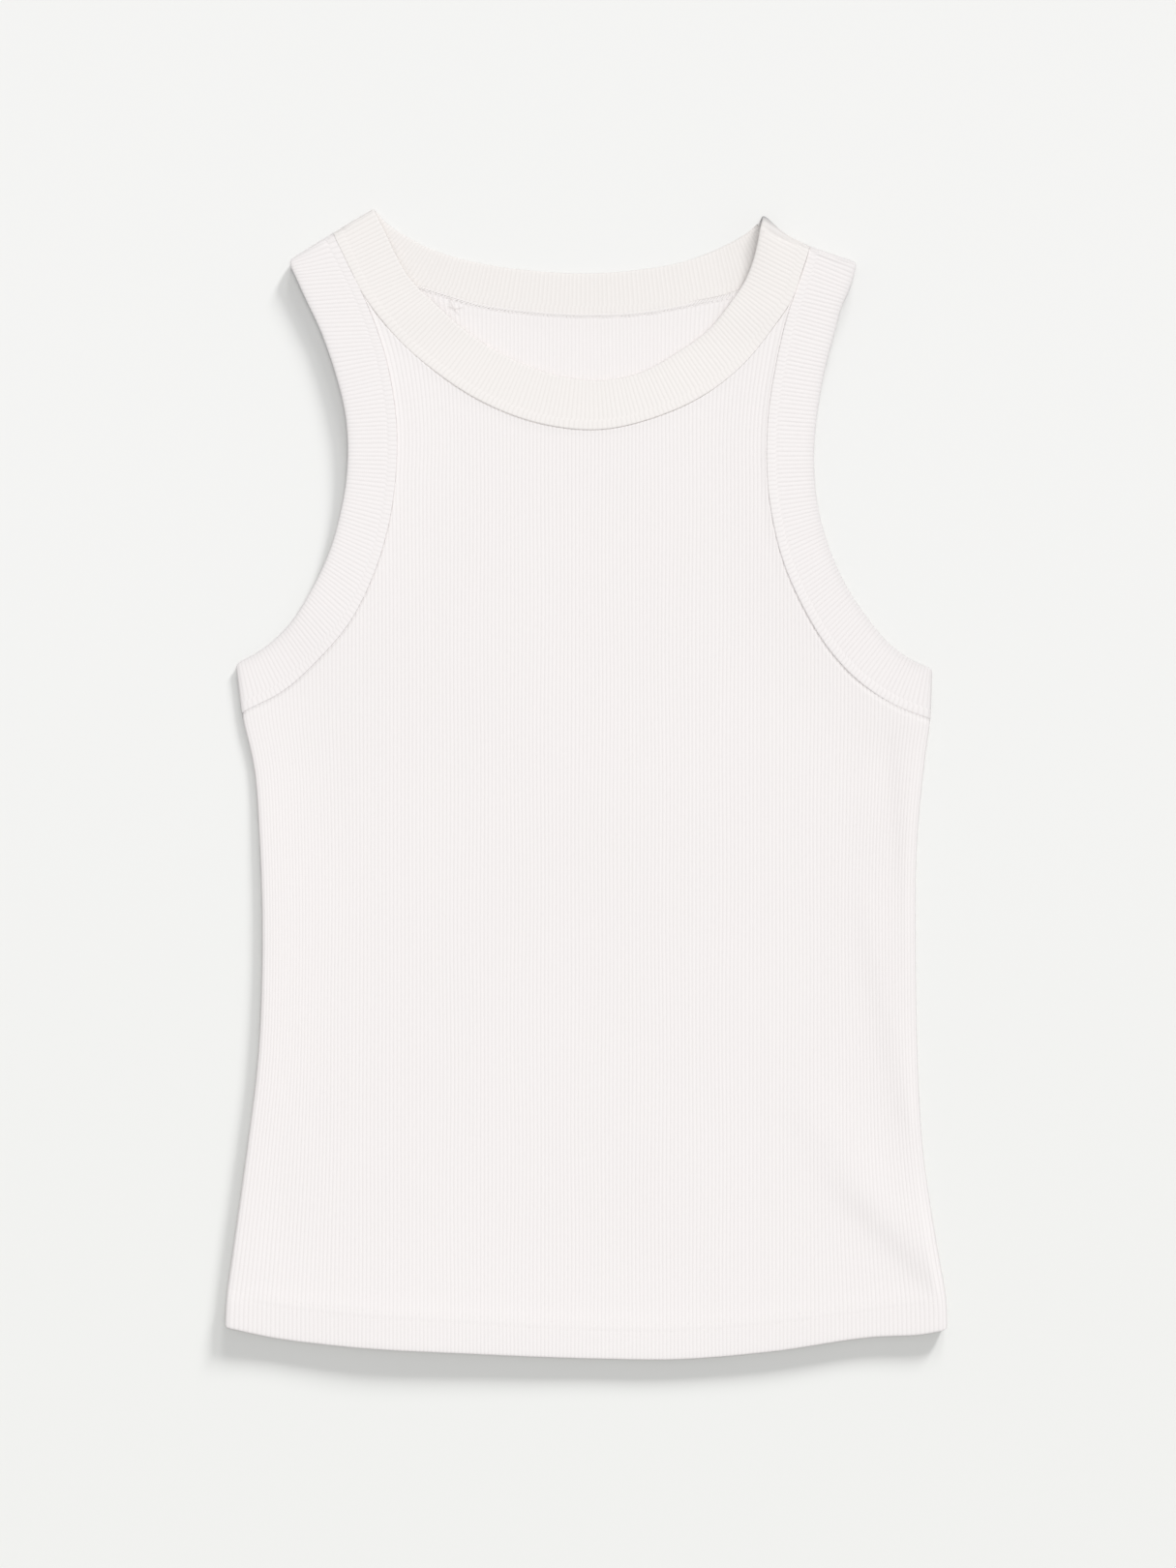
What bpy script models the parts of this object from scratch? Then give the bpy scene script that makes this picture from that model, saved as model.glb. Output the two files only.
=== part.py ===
"""A sleeveless rib-knit tank top, laid flat with its front up and its neck towards +Y.

Five cut pieces make it: a front and a back panel with turned-up hems, a double neckband and two
double arm bands. Each is a closed wall of cloth. The back lies on z = 0, the front lies on it,
and both curve round to meet at the side seams. The bands fold over at the shoulders. Lengths are
in millimetres here and become metres in the meshes.
"""

import math
from collections import namedtuple

import bmesh
import bpy
import numpy as np

METRES_PER_MM = 0.001
QUARTER_TURN = math.pi / 2

# Cloth. The front's ribs stand on its wall, and a band is two plies pressed together.
FRONT_WALL = 1.05
BACK_WALL = 1.2
BAND_WALL = 2.3
FRONT_HEM_WALL = 2.2
BACK_HEM_WALL = 2.4
RIB_HEIGHT = 0.3
BODY_RIB_PITCH = 2.04
BAND_RIB_PITCH = 2.3
SEAM_GAP = 0.3

# How the front lies: its underside over the back panel, over a band and over the hem.
UNDER_ON_PANEL = BACK_WALL + SEAM_GAP
UNDER_ON_BAND = BAND_WALL + RIB_HEIGHT + SEAM_GAP
UNDER_ON_HEM = BACK_HEM_WALL + SEAM_GAP + 0.1
BAND_EASE = 20.0
HEM_EASE = 26.0
SIDE_EASE = 15.0
SHOULDER_EASE = 34.0
NECK_RISE_START = 222.0
NECK_RISE_LENGTH = 32.0

# The rounded sides: radius in the body, and where hems or bands thicken it.
BODY_SIDE_RADIUS = 2.1
THICK_SIDE_RADIUS = 2.7
UNDERARM_START = 18.0
UNDERARM_LENGTH = 18.0
HEM_SIDE_START = -268.0
HEM_SIDE_LENGTH = 12.0

# The hem's folded edge, the step at its stitching, and how far the back hem stays inside.
EDGE_ROUNDING = 0.9
STITCH_BELOW = 1.5
STITCH_ABOVE = 2.5
BACK_HEM_INSET = 0.8

# How ribs lean: with the sides over SIDE_LEAN_WIDTH, and with the straps above YOKE_Y.
SIDE_LEAN_WIDTH = 78.0
STRAP_LEAN_WIDTH = 55.0
STRAP_FADE_WIDTH = 30.0
STRAP_FADE_Y = 100.0
YOKE_Y = 167.0
CHEST_Y = 38.0

# Rows of a panel: those of the hem, parts of the way up to the yoke line, then even ones above it.
HEM_ROWS = 3
BODY_ROWS = (0.09, 0.2, 0.45, 0.72, 0.88, 1.0)
FRONT_YOKE_ROWS = 6
BACK_YOKE_ROWS = 10
BACK_STRAP_TOP = 284.0
PANEL_SEAM_OFFSET = 0.28

# Where a face is plain, its rim has points this far apart: millimetres, or band stations.
FRONT_RIM_STEP = 12.0
BACK_RIM_STEP = 6.0
BAND_PLAIN_STEP = 6
FOLD_REACH = 7

# The part of the back neckband's inside that shows its ribs, between the two straps.
BACK_RIBS_FROM = 0.07
BACK_RIBS_TO = 0.93

# Plan of the body, from the underarm down: each side's reach from the middle.
Side = namedtuple("Side", "y left right")
SIDES = (
    Side(65.0, -188.0, 185.2),
    Side(36.0, -183.8, 184.2),
    Side(11.0, -177.9, 181.0),
    Side(-28.0, -174.8, 177.3),
    Side(-98.0, -173.9, 176.5),
    Side(-150.0, -176.5, 177.5),
    Side(-192.0, -181.7, 179.9),
    Side(-254.0, -190.1, 189.0),
    Side(-275.0, -192.9, 192.6),
    Side(-295.0, -194.4, 193.4),
)

# Plan of the hem, from left to right: its folded edge and its upper row of stitches.
Hem = namedtuple("Hem", "x edge stitches")
HEM = (
    Hem(-196.0, -290.6, -270.0),
    Hem(-170.0, -296.4, -275.5),
    Hem(-136.0, -300.8, -280.2),
    Hem(-61.0, -305.0, -285.6),
    Hem(7.0, -307.5, -289.1),
    Hem(45.0, -308.4, -289.5),
    Hem(100.0, -303.7, -285.5),
    Hem(153.0, -296.4, -278.6),
    Hem(182.0, -294.6, -274.8),
    Hem(195.0, -292.0, -273.8),
)

# The shoulders: where the two bands meet on the fold, and each band's fold line there.
Shoulder = namedtuple("Shoulder", "x y neck_angle neck_width neck_radius arm_angle arm_width arm_radius")
LEFT_SHOULDER = Shoulder(-136.4, 296.5, 29.6, 25.4, 3.0, 31.6, 26.9, 3.0)
RIGHT_SHOULDER = Shoulder(119.6, 289.6, -25.9, 29.8, 3.9, -20.5, 26.5, 3.1)

# Bands in plan: each section joins a point of the seam to one of the folded edge.
Section = namedtuple("Section", "seam_x seam_y edge_x edge_y")
LEFT_ARM = (
    Section(-184.1, 38.5, -188.0, 64.5),
    Section(-163.7, 50.4, -175.0, 72.8),
    Section(-146.4, 65.5, -160.9, 85.3),
    Section(-126.6, 88.9, -146.9, 107.1),
    Section(-113.6, 116.0, -138.1, 128.4),
    Section(-106.9, 138.3, -133.1, 146.1),
    Section(-102.7, 166.9, -129.0, 168.5),
    Section(-102.7, 198.1, -129.5, 196.0),
    Section(-106.3, 221.5, -133.4, 215.3),
    Section(-112.1, 242.3, -141.0, 241.0),
    Section(-121.4, 265.2, -150.5, 262.5),
    Section(-126.1, 274.6, -154.6, 271.6),
    Section(-131.3, 285.5, -157.8, 278.0),
)
RIGHT_ARM = (
    Section(184.1, 34.8, 185.1, 62.0),
    Section(165.6, 42.6, 175.5, 66.6),
    Section(148.3, 53.8, 163.5, 74.9),
    Section(130.8, 71.8, 149.0, 92.0),
    Section(115.7, 96.2, 136.5, 112.3),
    Section(104.8, 121.7, 128.2, 133.1),
    Section(98.1, 151.8, 123.2, 155.0),
    Section(96.4, 177.3, 121.9, 177.3),
    Section(97.2, 198.1, 123.2, 196.0),
    Section(101.1, 224.1, 127.0, 219.4),
    Section(108.2, 254.3, 134.1, 247.0),
    Section(111.0, 262.6, 136.6, 256.4),
    Section(114.7, 273.5, 140.1, 264.2),
    Section(117.3, 281.3, 142.6, 271.0),
)
FRONT_NECK = (
    Section(-131.3, 285.5, -108.2, 296.5),
    Section(-126.1, 274.6, -103.0, 285.5),
    Section(-121.4, 265.2, -97.2, 275.1),
    Section(-102.2, 240.2, -81.9, 259.0),
    Section(-81.4, 222.0, -64.2, 243.4),
    Section(-55.4, 205.4, -42.4, 230.1),
    Section(-24.2, 194.0, -17.9, 220.7),
    Section(7.0, 191.0, 5.5, 217.4),
    Section(38.2, 198.1, 28.9, 221.8),
    Section(63.0, 209.6, 48.1, 232.4),
    Section(82.4, 224.6, 64.7, 245.4),
    Section(97.5, 242.3, 77.2, 261.0),
    Section(111.0, 262.6, 86.6, 274.6),
    Section(114.7, 273.5, 90.2, 285.5),
    Section(117.3, 281.3, 92.0, 294.3),
)
BACK_NECK = (
    Section(-127.1, 285.5, -107.4, 302.1),
    Section(-112.1, 274.0, -94.9, 293.8),
    Section(-82.9, 265.7, -75.1, 285.2),
    Section(-60.6, 258.7, -55.4, 280.3),
    Section(-32.0, 254.5, -29.4, 276.8),
    Section(-0.8, 252.7, -0.8, 275.3),
    Section(29.9, 254.0, 27.8, 277.2),
    Section(58.0, 259.0, 53.8, 282.1),
    Section(78.3, 263.9, 72.5, 289.4),
    Section(99.6, 274.0, 86.1, 297.0),
)

# Soft folds of the front panel: the line of each, its half-width, and its height or depth.
Fold = namedtuple("Fold", "x0 y0 x1 y1 width height")
FRONT_FOLDS = (
    Fold(128.0, -196.0, 178.0, -262.0, 22.0, 2.1),
    Fold(140.0, -222.0, 182.0, -266.0, 8.0, -2.0),
    Fold(158.0, -182.0, 184.0, -252.0, 8.0, 1.2),
    Fold(157.0, 4.0, 159.0, -86.0, 8.0, 1.5),
    Fold(154.0, -98.0, 152.0, -176.0, 9.0, 0.8),
    Fold(-150.0, -60.0, -158.0, -190.0, 12.0, 0.8),
)

CLOTH_COLOUR = (0.86, 0.86, 0.855, 1.0)
BAND_COLOUR = (0.86, 0.855, 0.835, 1.0)
CLOTH_ROUGHNESS = 0.92


def smooth_step(value):
    """0 below 0, 1 above 1 and a smooth rise between."""
    value = np.clip(value, 0.0, 1.0)
    return value * value * (3.0 - 2.0 * value)


def soft_curve(known, values, wanted):
    """A smooth curve through the table's values, read at the wanted positions."""
    known = np.asarray(known, float)
    values = np.asarray(values, float)
    slopes = np.gradient(values, known, axis=0)
    wanted = np.clip(wanted, known[0], known[-1])
    cell = np.clip(np.searchsorted(known, wanted, "right") - 1, 0, len(known) - 2)
    step = known[cell + 1] - known[cell]
    part = (wanted - known[cell]) / step
    if values.ndim > 1:
        part = part[..., None]
        step = step[..., None]
    first = (1 + 2 * part) * (1 - part) ** 2 * values[cell] + part * (1 - part) ** 2 * step * slopes[cell]
    last = part**2 * (3 - 2 * part) * values[cell + 1] + part**2 * (part - 1) * step * slopes[cell + 1]
    return first + last


def column(table, name):
    return np.array([getattr(row, name) for row in table])


def side_reach(y, side):
    """Where the silhouette's side lies at a height: side is -1 for left and 1 for right."""
    name = "left" if side < 0 else "right"
    return soft_curve(column(SIDES, "y")[::-1], column(SIDES, name)[::-1], y)


def hem_line(x, name):
    return soft_curve(column(HEM, "x"), column(HEM, name), x)


def side_radius(y):
    thick = np.maximum(
        smooth_step((y - UNDERARM_START) / UNDERARM_LENGTH),
        smooth_step((HEM_SIDE_START - y) / HEM_SIDE_LENGTH),
    )
    return BODY_SIDE_RADIUS + (THICK_SIDE_RADIUS - BODY_SIDE_RADIUS) * thick


def overrun(radius):
    """How much longer a quarter turn of cloth is than the width that it shows."""
    return (QUARTER_TURN - 1.0) * radius


def sheet_side(y, side):
    """Where the panel's side seam lies before the cloth is rolled under."""
    return side_reach(y, side) + side * overrun(side_radius(y))


def fold_line(shoulder, band):
    """The seam's point on a shoulder fold, the way along the fold to the band's free edge, and outwards."""
    angle = math.radians(getattr(shoulder, band + "_angle"))
    towards_right = np.array([math.cos(angle), math.sin(angle)])
    outward = np.array([-math.sin(angle), math.cos(angle)])
    free_edge_is_right = (shoulder is LEFT_SHOULDER) == (band == "neck")
    along = towards_right if free_edge_is_right else -towards_right
    return np.array([shoulder.x, shoulder.y]), along, outward


def fold_section(shoulder, band):
    """The band's section on its shoulder fold, moved out by the cloth that the roll takes up."""
    seam, along, outward = fold_line(shoulder, band)
    seam = seam + outward * overrun(getattr(shoulder, band + "_radius"))
    edge = seam + along * getattr(shoulder, band + "_width")
    return Section(*seam, *edge)


def side_section(section, side):
    """The band's end at the side seam, moved out by the cloth that the roll takes up."""
    ends = np.array([[section.seam_x, section.seam_y], [section.edge_x, section.edge_y]])
    ends[:, 0] = sheet_side(ends[:, 1], side)
    return Section(*ends[0], *ends[1])


def arm_table(side):
    """Sections of an arm band, from the side seam up to the shoulder fold."""
    rows = LEFT_ARM if side < 0 else RIGHT_ARM
    shoulder = LEFT_SHOULDER if side < 0 else RIGHT_SHOULDER
    return (side_section(rows[0], side), *rows[1:], fold_section(shoulder, "arm"))


def neck_table(rows):
    """Sections of half the neckband, from the left shoulder fold to the right one."""
    return (fold_section(LEFT_SHOULDER, "neck"), *rows, fold_section(RIGHT_SHOULDER, "neck"))


def sections_along(table, count):
    """Count + 1 evenly spaced sections of a band, as an array of seam and edge points."""
    rows = np.array(table)
    middle = (rows[:, :2] + rows[:, 2:]) / 2
    travelled = np.concatenate([[0.0], np.cumsum(np.hypot(*np.diff(middle, axis=0).T))])
    return soft_curve(travelled, rows, np.linspace(0.0, travelled[-1], count + 1)).reshape(-1, 2, 2)


def band_length(table):
    middle = sections_along(table, 400).mean(axis=1)
    return float(np.hypot(*np.diff(middle, axis=0).T).sum())


def seam_polyline(table, offset):
    """The seam line of a band, moved offset millimetres away from the band."""
    sections = sections_along(table, 800)
    seam = sections[:, 0]
    away = seam - sections[:, 1]
    along = np.gradient(seam, axis=0)
    normal = np.stack([-along[:, 1], along[:, 0]], axis=1)
    normal /= np.hypot(*normal.T)[:, None]
    normal *= np.sign((normal * away).sum(axis=1))[:, None]
    return seam + normal * offset


def roll(points, inward, outward, radius, centre, depth, flat_z, lower):
    """Curves the last cloth before an edge through a quarter turn, to the upper or the lower side.

    inward is each point's distance inside the edge, outward the way out of it, centre the height
    of the turn's centre, and depth the distance from the wall's outer face. Returns plan points
    and heights.
    """
    travelled = inward + overrun(radius)
    turned = travelled < QUARTER_TURN * radius
    angle = np.clip(travelled / radius, 0.0, QUARTER_TURN)
    reach = radius - depth
    shown = np.where(turned, radius - reach * np.cos(angle), inward)
    rise = reach * np.sin(angle)
    height = np.where(turned, centre - rise if lower else centre + rise, flat_z)
    return points + outward * (inward - shown)[..., None], height


def eased(level, rolled_top, radius, inward, ease):
    """A front's top level, raised to meet the top of a roll."""
    nearness = np.exp(-((np.maximum(inward - radius, 0.0) / ease) ** 2))
    return level + (rolled_top - level) * nearness


def lay_sides(points, depth, level, lower):
    """Places a layer's points between the two rounded sides of the body."""
    x, y = points[..., 0], points[..., 1]
    radius = side_radius(y)
    inward = {side: side * (side_reach(y, side) - x) for side in (-1, 1)}
    centre = radius if lower else radius + SEAM_GAP
    if lower:
        flat_z = depth + 0.0 * x
    else:
        level = eased(level, centre + radius, radius, np.minimum(inward[-1], inward[1]), SIDE_EASE)
        flat_z = level - depth
    for side in (-1, 1):
        outward = np.array([float(side), 0.0])
        points, flat_z = roll(points, inward[side], outward, radius, centre, depth, flat_z, lower)
    return np.concatenate([points, flat_z[..., None]], axis=-1)


def lay_shoulders(points, depth, level, lower, folds):
    """Places a band's points between the shoulder folds that it crosses."""
    flat_z = depth + 0.0 * points[..., 0]
    distances = []
    for shoulder, band in folds:
        seam, _, outward = fold_line(shoulder, band)
        radius = getattr(shoulder, band + "_radius")
        inward = (seam - points) @ outward
        distances.append((inward, outward, radius))
        if not lower:
            level = eased(level, 2.0 * radius, radius, inward, SHOULDER_EASE)
    if not lower:
        flat_z = level - depth
    for inward, outward, radius in distances:
        points, flat_z = roll(points, inward, outward, radius, radius, depth, flat_z, lower)
    return np.concatenate([points, flat_z[..., None]], axis=-1)


def neck_rise(y):
    """0 where the front lies on the back panel and 1 where it lies on the back neckband."""
    return smooth_step((y - NECK_RISE_START) / NECK_RISE_LENGTH)


def fold_heights(x, y):
    """The sum of the front's soft folds: a smooth ridge or trough along each line."""
    total = np.zeros_like(x)
    for fold in FRONT_FOLDS:
        run = np.array([fold.x1 - fold.x0, fold.y1 - fold.y0])
        length = math.hypot(*run)
        run = run / length
        along = (x - fold.x0) * run[0] + (y - fold.y0) * run[1]
        across = (y - fold.y0) * run[0] - (x - fold.x0) * run[1]
        past_end = np.maximum(np.maximum(-along, along - length), 0.0)
        total += fold.height * np.exp(-(across**2 + past_end**2 / 4) / fold.width**2)
    return total


def nearest(points, line):
    """Each point's distance from the nearest point of a fine polyline."""
    gaps = points[..., None, :] - line[::8]
    return np.sqrt((gaps**2).sum(axis=-1)).min(axis=-1)


def front_under(points):
    """The height of the front panel's underside."""
    x, y = points[..., 0], points[..., 1]
    arm_distance = np.minimum(nearest(points, ARM_SEAMS[-1]), nearest(points, ARM_SEAMS[1]))
    on_band = np.maximum(np.exp(-((arm_distance / BAND_EASE) ** 2)), neck_rise(y))
    above_hem = np.maximum(y - hem_line(x, "stitches"), 0.0)
    on_hem = np.exp(-((above_hem / HEM_EASE) ** 2))
    lift = np.maximum((UNDER_ON_BAND - UNDER_ON_PANEL) * on_band, (UNDER_ON_HEM - UNDER_ON_PANEL) * on_hem)
    return np.maximum(UNDER_ON_PANEL + lift + fold_heights(x, y), UNDER_ON_PANEL)


def rib_columns():
    """The sheet position of each rib crest and valley at the chest, and those on the two straps."""
    first = float(sheet_side(np.array(CHEST_Y), -1))
    last = float(sheet_side(np.array(CHEST_Y), 1))
    count = 2 * round((last - first) / BODY_RIB_PITCH)
    places = np.linspace(first, last, count + 1)
    at_yoke = {side: np.interp(YOKE_Y, ARM_SEAMS[side][:, 1], ARM_SEAMS[side][:, 0]) for side in (-1, 1)}
    straps = {side: int(np.abs(places - at_yoke[side]).argmin()) for side in (-1, 1)}
    return places, straps


def lean(places, straps, y):
    """Where each column runs at each height: it follows the sides, and the straps above the yoke."""
    end = {-1: places[0], 1: places[-1]}

    def base(place):
        moved = place + 0.0 * y
        for side in (-1, 1):
            weight = np.clip(1.0 - np.abs(place - end[side]) / SIDE_LEAN_WIDTH, 0.0, 1.0) ** 2
            moved = moved + weight * (sheet_side(y, side) - end[side])
        return moved

    x = base(places)
    for side in (-1, 1):
        strap = places[straps[side]]
        inside = np.clip(1.0 + side * (places - strap) / STRAP_LEAN_WIDTH, 0.0, 1.0) ** 1.5
        outside = np.clip(1.0 - side * (places - strap) / STRAP_FADE_WIDTH, 0.0, 1.0)
        weight = np.where(side * (places - strap) > 0, outside, inside)
        seam = np.interp(np.maximum(y, YOKE_Y), ARM_SEAMS[side][:, 1], ARM_SEAMS[side][:, 0])
        wanted = seam - base(strap + 0.0 * places)
        fade = smooth_step((y - STRAP_FADE_Y) / (YOKE_Y - STRAP_FADE_Y))
        x = x + weight * wanted * fade
    return x


def column_tops(places, straps, neck_seam):
    """The height where each column meets the armhole seam, and where it meets the neck seam."""
    heights = np.arange(CHEST_Y - 12.0, BACK_STRAP_TOP, 0.25)
    x = lean(places[:, None], straps, heights[None, :])
    body = np.full(len(places), YOKE_Y)
    for side in (-1, 1):
        inside = side * (np.interp(heights, ARM_SEAMS[side][:, 1], ARM_SEAMS[side][:, 0]) - x)
        for k in range(len(places)):
            if side * (k - straps[side]) > 0:
                body[k] = first_zero(heights, inside[k])
    yoke = body.copy()
    below_neck = np.interp(x, neck_seam[:, 0], neck_seam[:, 1]) - heights
    above_yoke = heights > YOKE_Y - 1.0
    for k in range(straps[-1], straps[1] + 1):
        yoke[k] = first_zero(heights[above_yoke], below_neck[k][above_yoke])
    return body, yoke


def first_zero(positions, values):
    """The first position where the values, which start above 0, reach 0, or else the last one."""
    if (values > 0.0).all():
        return positions[-1]
    after = int(np.argmax(values <= 0.0))
    before = max(after - 1, 0)
    span = values[before] - values[after]
    part = values[before] / span if span else 0.0
    return positions[before] + part * (positions[after] - positions[before])


def panel_rows(places, straps, neck_seam, hem_inset, yoke_rows):
    """The plan points of a panel: per column the hem rows, the body rows and the yoke rows."""
    body_top, yoke_top = column_tops(places, straps, neck_seam)
    at_hem = lean(places, straps, np.full(len(places), HEM[4].stitches))
    edge = hem_line(at_hem, "edge") + hem_inset
    stitches = hem_line(at_hem, "stitches")
    start = stitches + STITCH_ABOVE
    heights = [edge, edge + EDGE_ROUNDING, stitches - STITCH_BELOW, start]
    heights += [start + part * (body_top - start) for part in BODY_ROWS]
    heights += [body_top + (row + 1) / yoke_rows * (yoke_top - body_top) for row in range(yoke_rows)]
    heights = np.stack(heights, axis=1)
    x = np.stack([lean(places, straps, row) for row in heights.T], axis=1)
    return np.stack([x, heights], axis=2)


def spaced_stations(points, step, kept):
    """Stations at least step apart along a rim, with the kept ones among them."""
    chosen = [0]
    travelled = 0.0
    for k in range(1, len(points)):
        travelled += float(np.hypot(*(points[k] - points[k - 1])))
        if travelled >= step or k in kept or k + 1 in kept:
            chosen.append(k)
            travelled = 0.0
    return sorted(set(chosen) | {len(points) - 1})


def new_object(name, points, faces, colour, collection):
    """A closed mesh object from points in millimetres, with only the points that its faces use."""
    used = sorted({vertex for face in faces for vertex in face})
    place = {vertex: index for index, vertex in enumerate(used)}
    mesh = bpy.data.meshes.new(name)
    mesh.from_pydata(points[used] * METRES_PER_MM, [], [[place[vertex] for vertex in face] for face in faces])
    form = bmesh.new()
    form.from_mesh(mesh)
    bmesh.ops.recalc_face_normals(form, faces=form.faces)
    form.to_mesh(mesh)
    form.free()
    material = bpy.data.materials.new(name + "_cloth")
    material.use_nodes = True
    shader = material.node_tree.nodes["Principled BSDF"]
    shader.inputs["Base Color"].default_value = colour
    shader.inputs["Roughness"].default_value = CLOTH_ROUGHNESS
    shader.inputs["Metallic"].default_value = 0.0
    mesh.materials.append(material)
    made = bpy.data.objects.new(name, mesh)
    collection.objects.link(made)
    return made


class Wall:
    """A closed wall between an outer and an inner grid of points, each [station, row, xyz].

    Either face may leave out stations, where it is plain. The rims between the faces are
    zipped from triangles, so the two may have different stations and rows.
    """

    def __init__(self, outer, inner, outer_stations, inner_stations):
        self.points = np.concatenate([outer.reshape(-1, 3), inner.reshape(-1, 3)])
        self.rows = {"outer": outer.shape[1], "inner": inner.shape[1]}
        self.start = {"outer": 0, "inner": outer.shape[0] * outer.shape[1]}
        self.stations = {"outer": outer_stations, "inner": inner_stations}
        self.faces = []

    def at(self, face, station, row):
        return self.start[face] + station * self.rows[face] + row

    def used(self, face, first, last):
        return [station for station in self.stations[face] if first <= station <= last]

    def skin(self, face, first, last, first_row, last_row):
        """Quads over a block of one face."""
        used = self.used(face, first, last)
        for a, b in zip(used[:-1], used[1:]):
            for row in range(first_row, last_row):
                corners = ((a, row), (b, row), (b, row + 1), (a, row + 1))
                self.faces.append([self.at(face, *corner) for corner in corners])

    def zip_lines(self, first, second):
        """Triangles between two lines of (position, vertex), in step with their positions."""
        i = j = 0
        while i < len(first) - 1 or j < len(second) - 1:
            first_next = i < len(first) - 1
            if first_next and j < len(second) - 1:
                first_next = first[i + 1][0] <= second[j + 1][0]
            if first_next:
                self.faces.append([first[i][1], first[i + 1][1], second[j][1]])
                i += 1
            else:
                self.faces.append([first[i][1], second[j + 1][1], second[j][1]])
                j += 1

    def rim(self, first, last, outer_row, inner_row):
        """The wall's thickness along a row, from one station to another."""
        lines = []
        for face, row in (("outer", outer_row), ("inner", inner_row)):
            lines.append([(station, self.at(face, station, row)) for station in self.used(face, first, last)])
        self.zip_lines(*lines)

    def band(self, last):
        """Both faces and both edges of a band, whose outer face has the fold as its third row."""
        self.skin("outer", 0, last, 0, 2)
        self.skin("inner", 0, last, 0, 1)
        self.rim(0, last, 0, 0)
        self.rim(0, last, 2, 1)

    def end(self, station, first_row, last_row):
        """The wall's thickness across a station: the inner face has one row fewer at its start."""
        outer = [(row, self.at("outer", station, row)) for row in range(first_row, last_row + 1)]
        inner = [(row + 1, self.at("inner", station, row)) for row in range(max(first_row - 1, 0), last_row)]
        self.zip_lines(outer, inner)


def panel_faces(plan, lower):
    """A panel's outer points from the hem's fold up, and its inner ones from the row above."""
    walls = np.full(plan.shape[1], BACK_WALL if lower else FRONT_WALL)
    walls[:HEM_ROWS] = BACK_HEM_WALL if lower else FRONT_HEM_WALL
    depth = np.zeros(plan.shape[:2])
    if not lower:
        depth[0::2] -= RIB_HEIGHT
    depth[:, 0] += walls[0] / 2
    under = plan[:, 1:]
    under_depth = np.broadcast_to(walls[1:], under.shape[:2])
    level = 0.0 if lower else front_under(plan) + walls
    under_level = 0.0 if lower else front_under(under) + walls[1:]
    return lay_sides(plan, depth, level, lower), lay_sides(under, under_depth, under_level, lower)


def build_panel(name, neck_seam, lower, collection):
    """A panel with its turned-up hem: the upper one ribbed outside, the lower one plain."""
    places, straps = rib_columns()
    yoke_rows = BACK_YOKE_ROWS if lower else FRONT_YOKE_ROWS
    hem_inset = BACK_HEM_INSET if lower else 0.0
    plan = panel_rows(places, straps, neck_seam, hem_inset, yoke_rows)
    body_row = HEM_ROWS + len(BODY_ROWS)
    last_row = body_row + yoke_rows
    every = np.arange(len(places))
    left, right, last = straps[-1], straps[1], len(places) - 1
    tops = np.where((every >= left) & (every <= right), last_row, body_row)
    plain = spaced_stations(plan[every, tops], BACK_RIM_STEP if lower else FRONT_RIM_STEP, {left, right})
    outer, inner = panel_faces(plan, lower)
    wall = Wall(outer, inner, plain if lower else list(every), plain)
    for face, shift in (("outer", 0), ("inner", 1)):
        wall.skin(face, 0, last, 0, body_row - shift)
        wall.skin(face, left, right, body_row - shift, last_row - shift)
    wall.rim(0, last, 0, 0)
    wall.rim(0, left, body_row, body_row - 1)
    wall.rim(left, right, last_row, last_row - 1)
    wall.rim(right, last, body_row, body_row - 1)
    for station in (0, last):
        wall.end(station, 0, body_row)
    for station in (left, right):
        wall.end(station, body_row, last_row)
    return new_object(name, wall.points, wall.faces, CLOTH_COLOUR, collection)


def band_faces(sections, ribs_out, ribs_in):
    """Plan points and depths of a band's outer face (seam, shoulder of the fold, fold) and inner face."""
    seam, edge = sections[:, 0], sections[:, 1]
    across = edge - seam
    across /= np.hypot(*across.T)[:, None]
    seam = seam + across * SEAM_GAP / 2
    brink = edge - across * EDGE_ROUNDING
    fold = edge + across * (np.maximum(ribs_out, ribs_in) / 2)[:, None]
    flat = np.zeros(len(sections))
    outer = np.stack([seam, brink, fold], axis=1)
    outer_depth = np.stack([-ribs_out, -ribs_out, flat + BAND_WALL / 2], axis=1)
    inner = np.stack([seam, brink], axis=1)
    inner_depth = np.stack([flat + BAND_WALL + ribs_in] * 2, axis=1)
    return (outer, outer_depth), (inner, inner_depth)


def near(total, centres):
    """True at the stations beside the centres, where the band bends."""
    station = np.arange(total)
    return np.any([np.abs(station - centre) < FOLD_REACH for centre in centres], axis=0)


def stations_of(dense):
    """Every station where dense is true, and every few where it isn't."""
    last = len(dense) - 1
    return [k for k in range(last + 1) if dense[k] or k % BAND_PLAIN_STEP == 0 or k == last]


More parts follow.
